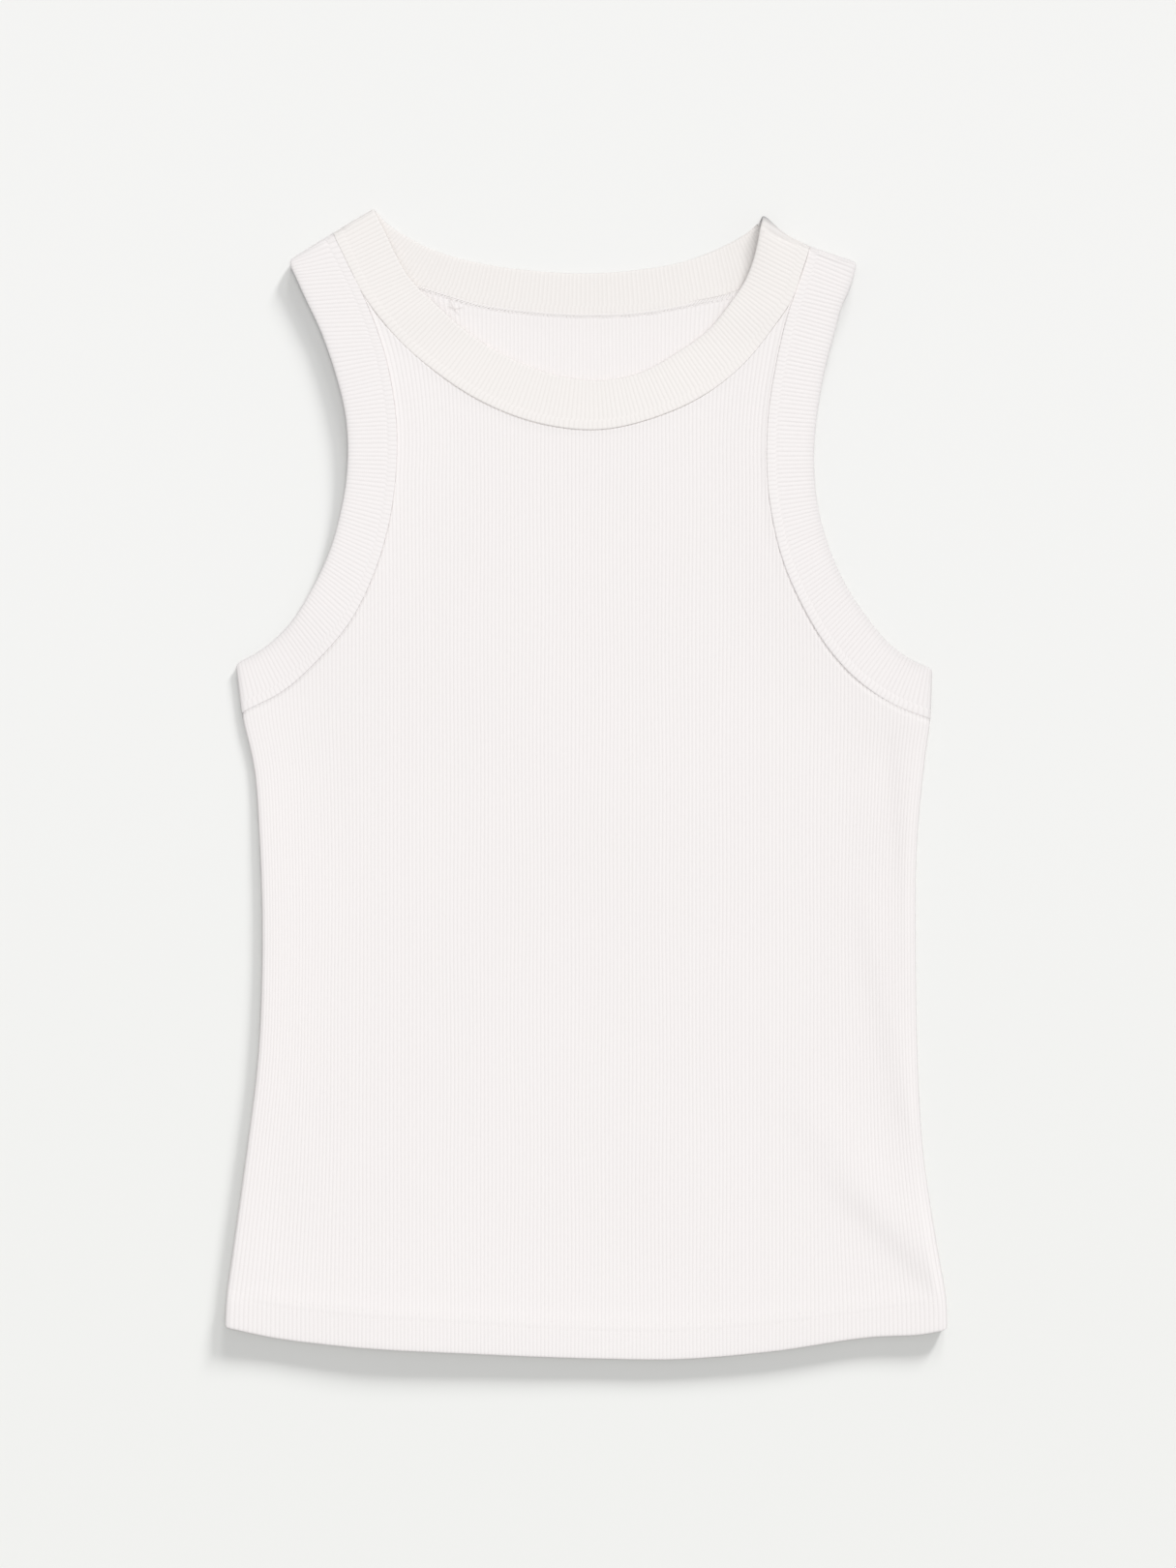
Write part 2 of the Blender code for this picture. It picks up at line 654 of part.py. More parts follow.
def arm_band(name, side, collection):
    """One double strip round an armhole: up the front, over the shoulder fold and down the back."""
    table = arm_table(side)
    shoulder = LEFT_SHOULDER if side < 0 else RIGHT_SHOULDER
    count = 2 * round(band_length(table) / BAND_RIB_PITCH)
    sections = sections_along(table, count)
    crest = np.where(np.arange(count + 1) % 2 == 0, RIB_HEIGHT, 0.0)
    crest[-1] = 0.0
    plain = np.zeros(count + 1)
    level = UNDER_ON_BAND + BAND_WALL
    halves = {"outer": [], "inner": []}
    for ribs, lower in ((crest, False), (plain, True)):
        for face, (points, depth) in zip(halves, band_faces(sections, ribs, plain)):
            sides = lay_sides(points, depth, level, lower)
            top = lay_shoulders(points, depth, level, lower, ((shoulder, "arm"),))
            near_side = (np.arange(count + 1) < count // 2)[:, None, None]
            placed = np.where(near_side, sides, top)
            halves[face].append(placed[::-1][1:] if lower else placed)
    outer = np.concatenate(halves["outer"])
    inner = np.concatenate(halves["inner"])
    last = len(outer) - 1
    bends = near(last + 1, (0, count, last))
    on_front = np.arange(last + 1) <= count
    wall = Wall(outer, inner, stations_of(bends | on_front), stations_of(bends))
    wall.band(last)
    for end in (0, last):
        wall.end(end, 0, 2)
    return new_object(name, wall.points, wall.faces, BAND_COLOUR, collection)


def neckband(collection):
    """One closed double strip round the neck: the front scoop, both shoulder folds and the back."""
    folds = ((LEFT_SHOULDER, "neck"), (RIGHT_SHOULDER, "neck"))
    halves = {"outer": [], "inner": []}
    counts = []
    for rows, lower in ((FRONT_NECK, False), (BACK_NECK, True)):
        table = neck_table(rows)
        count = 2 * round(band_length(table) / BAND_RIB_PITCH)
        counts.append(count)
        sections = sections_along(table, count)
        part = np.arange(count + 1) / count
        crest = np.where(np.arange(count + 1) % 2 == 0, RIB_HEIGHT, 0.0)
        crest[[0, -1]] = 0.0
        shown = (part > BACK_RIBS_FROM) & (part < BACK_RIBS_TO)
        ribs_out = 0.0 * crest if lower else crest
        ribs_in = crest * shown if lower else 0.0 * crest
        for face, (points, depth) in zip(halves, band_faces(sections, ribs_out, ribs_in)):
            level = UNDER_ON_PANEL + (UNDER_ON_BAND - UNDER_ON_PANEL) * neck_rise(points[..., 1]) + BAND_WALL
            placed = lay_shoulders(points, depth, level, lower, folds)
            halves[face].append(placed[::-1][1:-1] if lower else placed)
    outer = np.concatenate(halves["outer"])
    inner = np.concatenate(halves["inner"])
    outer = np.concatenate([outer, outer[:1]])
    inner = np.concatenate([inner, inner[:1]])
    last = len(outer) - 1
    front, back = counts
    bends = near(last + 1, (0, front, last))
    part = (np.arange(last + 1) - front) / back
    ribbed_back = (part > BACK_RIBS_FROM) & (part < BACK_RIBS_TO)
    wall = Wall(outer, inner, stations_of(bends | (part <= 0.0)), stations_of(bends | ribbed_back))
    wall.band(last)
    again = {}
    for face in halves:
        for row in range(wall.rows[face]):
            again[wall.at(face, last, row)] = wall.at(face, 0, row)
    faces = [[again.get(vertex, vertex) for vertex in face] for face in wall.faces]
    return new_object("neckband", wall.points, faces, BAND_COLOUR, collection)


def centre_on_footprint(objects):
    """Moves every piece so that the origin is under the middle of the whole garment's box."""
    corners = np.concatenate([[vertex.co[:] for vertex in made.data.vertices] for made in objects])
    middle = (corners.min(axis=0) + corners.max(axis=0)) / 2
    for made in objects:
        for vertex in made.data.vertices:
            vertex.co.x -= middle[0]
            vertex.co.y -= middle[1]


for old in list(bpy.data.objects):
    bpy.data.objects.remove(old, do_unlink=True)

tank_top = bpy.data.collections.new("tank_top")
bpy.context.scene.collection.children.link(tank_top)

ARM_SEAMS = {side: seam_polyline(arm_table(side), PANEL_SEAM_OFFSET) for side in (-1, 1)}
FRONT_NECK_SEAM = seam_polyline(neck_table(FRONT_NECK), PANEL_SEAM_OFFSET)
BACK_NECK_SEAM = seam_polyline(neck_table(BACK_NECK), PANEL_SEAM_OFFSET)

pieces = [
    build_panel("back_panel", BACK_NECK_SEAM, True, tank_top),
    build_panel("front_panel", FRONT_NECK_SEAM, False, tank_top),
    neckband(tank_top),
    arm_band("arm_band_left", -1, tank_top),
    arm_band("arm_band_right", 1, tank_top),
]
centre_on_footprint(pieces)
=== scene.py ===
"""A white sleeveless rib-knit tank top, laid flat on the floor with its front up.

Its five cut and sewn pieces, their stitching, the floor, the lamps and the camera follow in the
order in which the garment is put together and laid out. Lengths are in millimetres until a mesh
is made. x runs to the right across the body, y from the hem to the neck, and z up.
"""

import math

import bpy
import numpy as np
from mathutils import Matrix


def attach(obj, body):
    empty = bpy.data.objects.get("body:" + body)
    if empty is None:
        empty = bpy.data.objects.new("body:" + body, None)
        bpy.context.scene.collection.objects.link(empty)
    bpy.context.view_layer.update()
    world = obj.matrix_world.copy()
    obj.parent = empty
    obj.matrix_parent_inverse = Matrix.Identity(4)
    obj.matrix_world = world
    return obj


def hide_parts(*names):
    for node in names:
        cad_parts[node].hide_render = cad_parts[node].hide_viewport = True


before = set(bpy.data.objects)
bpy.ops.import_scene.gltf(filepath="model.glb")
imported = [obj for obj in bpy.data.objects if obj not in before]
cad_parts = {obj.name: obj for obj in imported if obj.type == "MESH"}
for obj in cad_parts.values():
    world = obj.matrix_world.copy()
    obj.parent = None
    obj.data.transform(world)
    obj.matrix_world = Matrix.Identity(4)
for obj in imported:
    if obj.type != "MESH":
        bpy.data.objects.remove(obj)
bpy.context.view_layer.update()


# ---- The back panel ----
# One piece of white cotton 1x1 rib knit, its ribs running up the body. Its hem is turned up once
# and coverstitched, its sides are rolled up to meet the front's, and it lies on the floor.

MM = 0.001
FOOTPRINT_MIDDLE = np.array([-0.367, 0.096, 0.0])
BACK_WALL = 1.2
BACK_HEM_WALL = 2.4
SEAM_GAP = 0.3
PANEL_SEAM_OFFSET = 0.02
BODY_RIB_PITCH = 2.04
RIB_RELIEF = 0.2
COURSE = 1.05
BACK_HEM_INSET = 0.8
STITCH_ROWS_APART = 3.8
UNDERARM = 38.0
YOKE_LINE = 167.0
LOWEST_STITCHES = -289.1
CREASED_BACK_SHARE = 0.45
FULLNESS_REACH = 30.0
UNPRESSED_SHARE = 0.12

# The silhouette's sides from the underarm down: y, left, right.
SIDES = np.array([
    (65.0, -188.6, 185.2),
    (36.0, -184.8, 184.2),
    (11.0, -179.1, 181.0),
    (-28.0, -175.9, 177.3),
    (-98.0, -174.4, 176.5),
    (-150.0, -176.8, 177.5),
    (-192.0, -182.0, 179.9),
    (-254.0, -190.6, 189.0),
    (-275.0, -193.5, 192.6),
    (-295.0, -194.4, 193.4),
])

# The hem from left to right: x, folded edge, upper row of stitches.
HEM = np.array([
    (-196.0, -290.6, -270.0),
    (-170.0, -296.4, -275.5),
    (-136.0, -300.8, -280.2),
    (-61.0, -305.4, -285.6),
    (7.0, -308.0, -289.1),
    (45.0, -308.4, -289.5),
    (100.0, -304.0, -285.5),
    (153.0, -296.4, -278.6),
    (182.0, -294.6, -274.8),
    (195.0, -292.0, -273.8),
])

# The seams of the arm bands and of the back neckband: seam x, seam y, folded edge x, edge y.
LEFT_ARM = np.array([
    (-184.1, 38.5, -188.0, 64.5),
    (-163.7, 50.4, -175.0, 72.8),
    (-146.4, 65.5, -160.9, 85.3),
    (-126.6, 88.9, -146.9, 107.1),
    (-113.6, 116.0, -137.5, 128.1),
    (-106.9, 138.3, -132.6, 146.0),
    (-102.7, 166.9, -129.0, 168.5),
    (-102.7, 198.1, -129.5, 196.0),
    (-106.3, 221.5, -133.6, 215.3),
    (-112.1, 242.3, -142.1, 241.1),
    (-121.4, 265.2, -152.0, 262.7),
    (-126.1, 274.6, -156.2, 272.0),
    (-131.3, 285.5, -159.1, 278.4),
])
RIGHT_ARM = np.array([
    (184.1, 34.8, 185.1, 62.0),
    (165.6, 42.6, 175.5, 66.6),
    (148.3, 53.8, 163.5, 74.9),
    (130.8, 71.8, 149.0, 92.0),
    (115.7, 96.2, 136.5, 112.3),
    (104.8, 121.7, 128.2, 133.1),
    (98.1, 151.8, 123.2, 155.0),
    (96.4, 177.3, 121.9, 177.3),
    (97.2, 198.1, 123.2, 196.0),
    (101.1, 224.1, 127.0, 219.4),
    (108.2, 254.3, 134.1, 247.0),
    (111.0, 262.6, 136.6, 256.4),
    (114.7, 273.5, 140.1, 264.2),
    (117.3, 281.3, 142.6, 271.0),
])
BACK_NECK = np.array([
    (-127.1, 285.5, -107.4, 302.1),
    (-112.1, 274.0, -94.9, 293.8),
    (-82.9, 265.7, -75.1, 285.2),
    (-60.6, 258.7, -55.4, 280.3),
    (-32.0, 254.5, -29.4, 276.8),
    (-0.8, 252.7, -0.8, 275.3),
    (29.9, 254.0, 27.8, 277.2),
    (58.0, 259.0, 53.8, 282.1),
    (78.3, 263.9, 72.5, 289.4),
    (99.6, 274.0, 86.1, 297.0),
])

# The shoulders: the point where neckband and arm band meet on the fold, and the angle, width and
# roll radius of each band's fold there.
SHOULDERS = {
    -1: {"at": (-136.6, 296.8), "neck": (30.6, 25.4, 3.0), "arm": (32.2, 26.9, 3.0)},
    1: {"at": (119.6, 289.6), "neck": (-25.0, 29.8, 3.9), "arm": (-19.2, 26.5, 3.1)},
}

# The body's creases: from x, y to x, y, the half-widths on the right and the left of that way, and
# the height, or the depth where it is negative.
BODY_CREASES = np.array([
    (126.0, -183.0, 170.0, -236.0, 12.0, 22.0, 1.0),
    (152.0, -226.0, 188.0, -262.0, 8.0, 16.0, 2.0),
    (151.0, -75.0, 172.0, -170.0, 6.5, 8.5, 1.0),
    (161.0, 14.0, 164.5, -52.0, 9.0, 5.5, -1.0),
    (160.5, 22.0, 164.5, -60.0, 13.0, 22.0, 0.85),
    (-150.0, -60.0, -158.0, -190.0, 12.0, 12.0, 0.5),
    (-136.0, -210.0, -164.0, -262.0, 12.0, 9.0, 0.6),
])

# How full or flat the garment lies at places near its outline: x, y, and the factor on its height.
FULLNESS = np.array([
    (-188.0, 46.0, 0.40),
    (-184.0, 20.0, 0.42),
    (-178.0, -12.0, 0.72),
    (-175.0, -45.0, 0.85),
    (-174.0, -85.0, 0.92),
    (-176.0, -125.0, 1.10),
    (-178.0, -170.0, 1.30),
    (-184.0, -225.0, 1.34),
    (-190.0, -268.0, 1.28),
    (-180.0, -298.0, 0.90),
    (-150.0, -302.0, 1.02),
    (-118.0, -303.0, 1.20),
    (-80.0, -305.0, 1.12),
    (-40.0, -306.0, 1.00),
    (10.0, -308.0, 0.90),
    (60.0, -308.0, 0.90),
    (110.0, -303.0, 0.96),
    (165.0, -297.0, 0.90),
    (-131.0, 150.0, 0.90),
    (-129.0, 182.0, 1.05),
    (-132.0, 210.0, 1.02),
    (-139.0, 232.0, 1.00),
    (-148.0, 254.0, 0.77),
    (-156.0, 272.0, 0.85),
])


def smooth_step(value):
    """3 v^2 - 2 v^3, which is 0 below 0 and 1 above 1."""
    value = np.clip(value, 0.0, 1.0)
    return value * value * (3.0 - 2.0 * value)


def soft_curve(known, values, wanted):
    """The cubic Hermite curve through values at known, with the slopes of their neighbours' chords."""
    slopes = np.gradient(values, known, axis=0)
    wanted = np.clip(wanted, known[0], known[-1])
    cell = np.clip(np.searchsorted(known, wanted, "right") - 1, 0, len(known) - 2)
    step = known[cell + 1] - known[cell]
    part = (wanted - known[cell]) / step
    if values.ndim > 1:
        part = part[..., None]
        step = step[..., None]
    first = (1 + 2 * part) * (1 - part) ** 2 * values[cell] + part * (1 - part) ** 2 * step * slopes[cell]
    last = part**2 * (3 - 2 * part) * values[cell + 1] + part**2 * (part - 1) * step * slopes[cell + 1]
    return first + last


def side_reach(y, side):
    """x of the silhouette at y, on the left (-1) or the right (1)."""
    return soft_curve(SIDES[::-1, 0], SIDES[::-1, 1 if side < 0 else 2], y)


def hem_edge(x):
    """y of the hem's fold, 0.3 below the table's line, which its rounding shows."""
    return soft_curve(HEM[:, 0], HEM[:, 1], x) - 0.3


def hem_stitches(x):
    """y of the upper row of the hem's stitches."""
    return soft_curve(HEM[:, 0], HEM[:, 2], x)


def side_radius(y):
    """Radius of the rolled side: 2.1, and 2.7 where an arm band or a hem thickens it."""
    return 2.1 + 0.6 * np.maximum(smooth_step((y - 18.0) / 18.0), smooth_step((-268.0 - y) / 12.0))


def overrun(radius):
    """(pi / 2 - 1) r: how much longer a quarter turn of cloth is than the width that it shows."""
    return (math.pi / 2 - 1.0) * radius


def sheet_side(y, side):
    """x of the side seam before the cloth is rolled under."""
    return side_reach(y, side) + side * overrun(side_radius(y))


def fold_line(side, band):
    """The seam's point on a shoulder fold, the way along the fold to the free edge, and outwards."""
    angle = math.radians(SHOULDERS[side][band][0])
    towards_right = np.array([math.cos(angle), math.sin(angle)])
    outward = np.array([-math.sin(angle), math.cos(angle)])
    free_edge_is_right = (side < 0) == (band == "neck")
    return np.array(SHOULDERS[side]["at"]), towards_right if free_edge_is_right else -towards_right, outward


def fold_section(side, band):
    """A band's section on its shoulder fold, moved out by the cloth that the roll takes up."""
    seam, along, outward = fold_line(side, band)
    _, width, radius = SHOULDERS[side][band]
    seam = seam + outward * overrun(radius)
    return np.concatenate([seam, seam + along * width])


def arm_sections(side):
    """Sections of an arm band from the side seam up to the shoulder fold, as laid out flat."""
    rows = (LEFT_ARM if side < 0 else RIGHT_ARM).copy()
    rows[0, [0, 2]] = sheet_side(rows[0, [1, 3]], side)
    return np.vstack([rows, fold_section(side, "arm")])


def neck_sections(rows):
    """Sections of half the neckband, from the left shoulder fold to the right one."""
    return np.vstack([fold_section(-1, "neck"), rows, fold_section(1, "neck")])


def travelled(points):
    """Length of the way along a line of points, up to each of them."""
    return np.concatenate([[0.0], np.cumsum(np.hypot(*np.diff(points, axis=0).T))])


def points_along(line, way, wanted):
    """The xy of a line of points at wanted lengths, where way is the length up to each of them."""
    return np.stack([np.interp(wanted, way, line[:, axis]) for axis in (0, 1)], axis=-1)


def sections_at(table, parts):
    """A band's seam and edge points [station, 2, xy] at parts from 0 to 1 of its middle line's length."""
    way = travelled((table[:, :2] + table[:, 2:]) / 2)
    return soft_curve(way, table, parts * way[-1]).reshape(-1, 2, 2)


def band_length(table):
    """Length of a band's middle line."""
    middle = sections_at(table, np.linspace(0.0, 1.0, 401)).mean(axis=1)
    return float(np.hypot(*np.diff(middle, axis=0).T).sum())


def seam_beside(table, offset):
    """A band's seam line, moved offset away from the band along the line's normal."""
    sections = sections_at(table, np.linspace(0.0, 1.0, 201))
    seam = sections[:, 0]
    along = np.gradient(seam, axis=0)
    normal = np.stack([-along[:, 1], along[:, 0]], axis=1)
    normal /= np.hypot(*normal.T)[:, None]
    normal *= np.sign((normal * (seam - sections[:, 1])).sum(axis=1))[:, None]
    return seam + normal * offset


ARM_SEAMS = {side: seam_beside(arm_sections(side), PANEL_SEAM_OFFSET) for side in (-1, 1)}


def distance_from(points, line):
    """Least |p - a - t (b - a)|, 0 <= t <= 1, over a line's pieces a to b."""
    start = line[:-1]
    run = np.diff(line, axis=0)
    gap = points[..., None, :] - start
    part = np.clip((gap * run).sum(axis=-1) / (run**2).sum(axis=-1), 0.0, 1.0)
    gap -= part[..., None] * run
    return np.hypot(gap[..., 0], gap[..., 1]).min(axis=-1)


def rib_crest(ribs):
    """1 on a rib's crest, at whole numbers, and 0 in the groove between two: 1 - (2 d)^3."""
    return 1.0 - (2.0 * np.abs(ribs - np.round(ribs))) ** 3


def wander(x, y):
    """How far a rib strays to the side: a few long sine waves, about 0.3 mm each."""
    slow = 0.34 * np.sin(x / 17.0 + y / 43.0) * np.sin(y / 61.0 + 0.7)
    return slow + 0.22 * np.sin(x / 9.5 - y / 57.0 + 1.3) * np.sin(y / 34.0 - x / 80.0)


def lean(places, straps, y):
    """x of each column at height y: it follows the sides, and above the yoke line the straps."""
    end = {-1: places[0], 1: places[-1]}

    def base(place):
        moved = place + 0.0 * y
        for side in (-1, 1):
            weight = np.clip(1.0 - np.abs(place - end[side]) / 78.0, 0.0, 1.0) ** 2
            moved = moved + weight * (sheet_side(y, side) - end[side])
        return moved

    x = base(places)
    calm = np.clip((places - end[-1]) / 30.0, 0.0, 1.0) * np.clip((end[1] - places) / 30.0, 0.0, 1.0)
    for side in (-1, 1):
        strap = places[straps[side]]
        inside = np.clip(1.0 + side * (places - strap) / 55.0, 0.0, 1.0) ** 1.5
        outside = np.clip(1.0 - side * (places - strap) / 30.0, 0.0, 1.0)
        weight = np.where(side * (places - strap) > 0, outside, inside)
        seam = np.interp(np.maximum(y, YOKE_LINE), ARM_SEAMS[side][:, 1], ARM_SEAMS[side][:, 0])
        wanted = seam - base(strap + 0.0 * places)
        x = x + weight * wanted * smooth_step((y - 100.0) / (YOKE_LINE - 100.0))
        calm = calm * np.clip(np.abs(places - strap) / 22.0, 0.0, 1.0)
    return x + calm * wander(x, y)


def first_zero(positions, values):
    """Per row of values, which start above 0, the position where they first reach 0, or the last one."""
    reached = values <= 0.0
    reached[:, -1] = True
    after = reached.argmax(axis=1)
    before = np.maximum(after - 1, 0)
    row = np.arange(len(values))
    high, low = values[row, before], values[row, after]
    part = np.clip(high / np.where(high == low, 1.0, high - low), 0.0, 1.0)
    return positions[before] + part * (positions[after] - positions[before])


def column_tops(places, straps, neck_seam):
    """The height where each column meets the armhole seam or the yoke line, and then the neck seam."""
    heights = np.arange(26.0, 284.0, 0.25)
    x = lean(places[:, None], straps, heights[None, :])
    column = np.arange(len(places))
    body = np.full(len(places), YOKE_LINE)
    for side in (-1, 1):
        outside = side * (column - straps[side]) > 0
        reach = side * (np.interp(heights, ARM_SEAMS[side][:, 1], ARM_SEAMS[side][:, 0]) - x[outside])
        body[outside] = first_zero(heights, reach)
    yoke = body.copy()
    within = slice(straps[-1], straps[1] + 1)
    above = heights > YOKE_LINE - 1.0
    below_neck = np.interp(x[within], neck_seam[:, 0], neck_seam[:, 1]) - heights
    yoke[within] = first_zero(heights[above], below_neck[:, above])
    return body, yoke


def panel_plan(neck_seam, hem_inset, crease_rows, body_rows, yoke_rows):
    """Plan points [column, row, xy] of a panel, each column's rib number, and which cells are cloth.

    Four columns make a rib. Rows are close at the hem's fold and stitches, evenly spaced over the
    creases above them, and then parts of the way up to the armhole or yoke line and to the neck.
    """
    first, last = (float(sheet_side(np.array(UNDERARM), side)) for side in (-1, 1))
    count = round((last - first) / BODY_RIB_PITCH)
    halves = np.linspace(first, last, 2 * count + 1)
    at_yoke = {side: np.interp(YOKE_LINE, ARM_SEAMS[side][:, 1], ARM_SEAMS[side][:, 0]) for side in (-1, 1)}
    straps = {side: 2 * int(np.abs(halves - at_yoke[side]).argmin()) for side in (-1, 1)}
    ribs = np.append((np.arange(count)[:, None] + np.array([0.0, 0.32, 0.5, 0.68])).ravel(), count)
    places = first + (last - first) * ribs / count
    body_top, yoke_top = column_tops(places, straps, neck_seam)
    at_hem = lean(places, straps, np.full(len(places), LOWEST_STITCHES))
    edge = hem_edge(at_hem) + hem_inset
    stitches = hem_stitches(at_hem)
    heights = [edge + above for above in (0.02, 0.25, 0.7, 1.3, 3.0)]
    heights += [(edge + stitches) / 2 - 1.0]
    heights += [stitches + above for above in (-5.6, -4.5, -3.8, -3.1, -1.9, -0.7, 0.0, 0.7, 2.5)]
    start = heights[-1]
    heights += [start + 5.0 * (row + 1) for row in range(crease_rows)]
    start = heights[-1]
    parts = 1.0 - (1.0 - np.arange(1, body_rows + 1) / body_rows) ** 1.4
    heights += [start + part * (body_top - start) for part in parts]
    parts = 1.0 - (1.0 - np.arange(1, yoke_rows + 1) / yoke_rows) ** 1.5
    heights += [body_top + part * (yoke_top - body_top) for part in parts]
    heights = np.stack(heights, axis=1)
    x = np.stack([lean(places, straps, row) for row in heights.T], axis=1)
    cloth = np.ones((len(places) - 1, heights.shape[1] - 1), bool)
    cloth[: straps[-1], -yoke_rows:] = False
    cloth[straps[1]:, -yoke_rows:] = False
    return np.stack([x, heights], axis=2), ribs, cloth


def roll(points, inward, outward, radius, centre, depth, flat_z, lower):
    """Turns the last cloth before an edge through a quarter circle.

    The cloth's way s = inward + overrun(r) becomes the angle s / r. At depth d from the outer face
    the point is r - (r - d) cos(s / r) inside the edge and (r - d) sin(s / r) from the centre.
    """
    way = inward + overrun(radius)
    turned = way < radius * math.pi / 2
    angle = np.clip(way / radius, 0.0, math.pi / 2)
    reach = radius - depth
    shown = np.where(turned, radius - reach * np.cos(angle), inward)
    rise = reach * np.sin(angle)
    height = np.where(turned, centre - rise if lower else centre + rise, flat_z)
    return points + outward * (inward - shown)[..., None], height


def eased(level, rolled_top, radius, inward, ease):
    """A front's top level, raised to a roll's top by exp(-(d / ease)^2)."""
    return level + (rolled_top - level) * np.exp(-((np.maximum(inward - radius, 0.0) / ease) ** 2))


def lay_sides(points, depth, level, lower):
    """Places points of the lower or the upper layer between the two rolled sides of the body."""
    x, y = points[..., 0], points[..., 1]
    radius = side_radius(y)
    inward = {side: side * (side_reach(y, side) - x) for side in (-1, 1)}
    centre = radius if lower else radius + SEAM_GAP
    if lower:
        flat_z = level + depth
    else:
        flat_z = eased(level, centre + radius, radius, np.minimum(inward[-1], inward[1]), 15.0) - depth
    for side in (-1, 1):
        outward = np.array([float(side), 0.0])
        points, flat_z = roll(points, inward[side], outward, radius, centre, depth, flat_z, lower)
    return at_height(points, flat_z)


def at_height(points, z):
    """Plan points with their heights."""
    return np.concatenate([points, z[..., None]], axis=-1)


def rounded(distance, reach):
    """1 at an edge and 0 from reach on, along a quarter circle: 1 - sqrt(1 - (1 - d / r)^2)."""
    return 1.0 - np.sqrt(1.0 - np.clip(1.0 - distance / reach, 0.0, 1.0) ** 2)


def between(outer, inner, part):
    """Depths of the two faces, drawn together by part of the way to the middle of the wall."""
    middle = (outer + inner) / 2
    return outer + (middle - outer) * part, inner + (middle - inner) * part


def crease_heights(x, y, creases):
    """The sum over the creases of h exp(-(across / w)^2 - (past_end / (w_right + w_left))^2)."""
    total = np.zeros_like(x)
    for x0, y0, x1, y1, right_width, left_width, height in creases:
        length = math.hypot(x1 - x0, y1 - y0)
        run_x, run_y = (x1 - x0) / length, (y1 - y0) / length
        along = (x - x0) * run_x + (y - y0) * run_y
        across = (y - y0) * run_x - (x - x0) * run_y
        past_end = np.maximum(np.maximum(-along, along - length), 0.0) / (right_width + left_width)
        width = np.where(across < 0.0, right_width, left_width)
        total += height * np.exp(-((across / width) ** 2) - past_end**2)
    return total


def from_sides(points):
    """How far points are inside the silhouette's nearer side."""
    x, y = points[..., 0], points[..., 1]
    return np.minimum(x - side_reach(y, -1), side_reach(y, 1) - x)


def from_outline(points):
    """How far points are inside the nearer of the silhouette's sides and the hem's fold."""
    return np.minimum(from_sides(points), points[..., 1] - hem_edge(points[..., 0]))


def back_lift(points):
    """How far the back is drawn up off the floor under the front's creases, by a share of them."""
    crease = np.maximum(crease_heights(points[..., 0], points[..., 1], BODY_CREASES), 0.0)
    return CREASED_BACK_SHARE * crease * smooth_step((from_sides(points) - 3.0) / 10.0)


def panel_depths(plan, ribs, walls, hem_walls, proud, hem_inset, neck_seam):
    """Depths of a panel's outer and inner faces below its level.

    The wall is two plies up to the hem's stitches. Ribs are crests on one face where they are
    grooves on the other, two rows of stitches sink in, and the edges are rounded.
    """
    x, y = plan[..., 0], plan[..., 1]
    above_stitches = y - hem_stitches(x)
    wall = walls + (hem_walls - walls) * (1.0 - smooth_step((above_stitches + 2.0) / 9.0))
    crest = rib_crest(ribs)[:, None]
    outer = -proud + RIB_RELIEF * (1.0 - crest)
    inner = wall - RIB_RELIEF * (1.0 - rib_crest(ribs + 0.5)[:, None])
    rows = (above_stitches, above_stitches + STITCH_ROWS_APART)
    sunk = sum(np.exp(-((above_row / 0.6) ** 2)) for above_row in rows)
    outer = outer + 0.1 * sunk
    inner = inner - 0.1 * sunk
    outer, inner = between(outer, inner, 0.9 * rounded(y - hem_edge(x) - hem_inset, 1.2))
    seam_distance = np.min([distance_from(plan, seam) for seam in (*ARM_SEAMS.values(), neck_seam)], axis=0)
    return between(outer, inner, 0.25 * rounded(seam_distance, 0.5))


def pressed(points):
    """The points with z scaled by the mean of 1 and the fullness near by.

    1 weighs UNPRESSED_SHARE, and each place's factor exp(-(d / FULLNESS_REACH)^2) at d from it.
    """
    x, y = points[..., 0], points[..., 1]
    weights, total = UNPRESSED_SHARE + 0.0 * x, UNPRESSED_SHARE + 0.0 * x
    for at_x, at_y, factor in FULLNESS:
        near = np.exp(-((x - at_x) ** 2 + (y - at_y) ** 2) / FULLNESS_REACH**2)
        weights += near
        total += near * factor
    return points * np.stack([np.ones_like(x), np.ones_like(x), total / weights], axis=-1)


def new_piece(name, points, faces, flat_map):
    """A smooth piece on the root body, with its map's u and v for each corner of each face."""
    mesh = bpy.data.meshes.new(name)
    mesh.from_pydata((pressed(points) - FOOTPRINT_MIDDLE) * MM, [], faces)
    mesh.uv_layers.new(name="knit").uv.foreach_set("vector", flat_map.ravel().astype(np.float32))
    mesh.polygons.foreach_set("use_smooth", np.ones(len(mesh.polygons), bool))
    piece = bpy.data.objects.new(name, mesh)
    bpy.context.scene.collection.objects.link(piece)
    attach(piece, "root")
    return piece


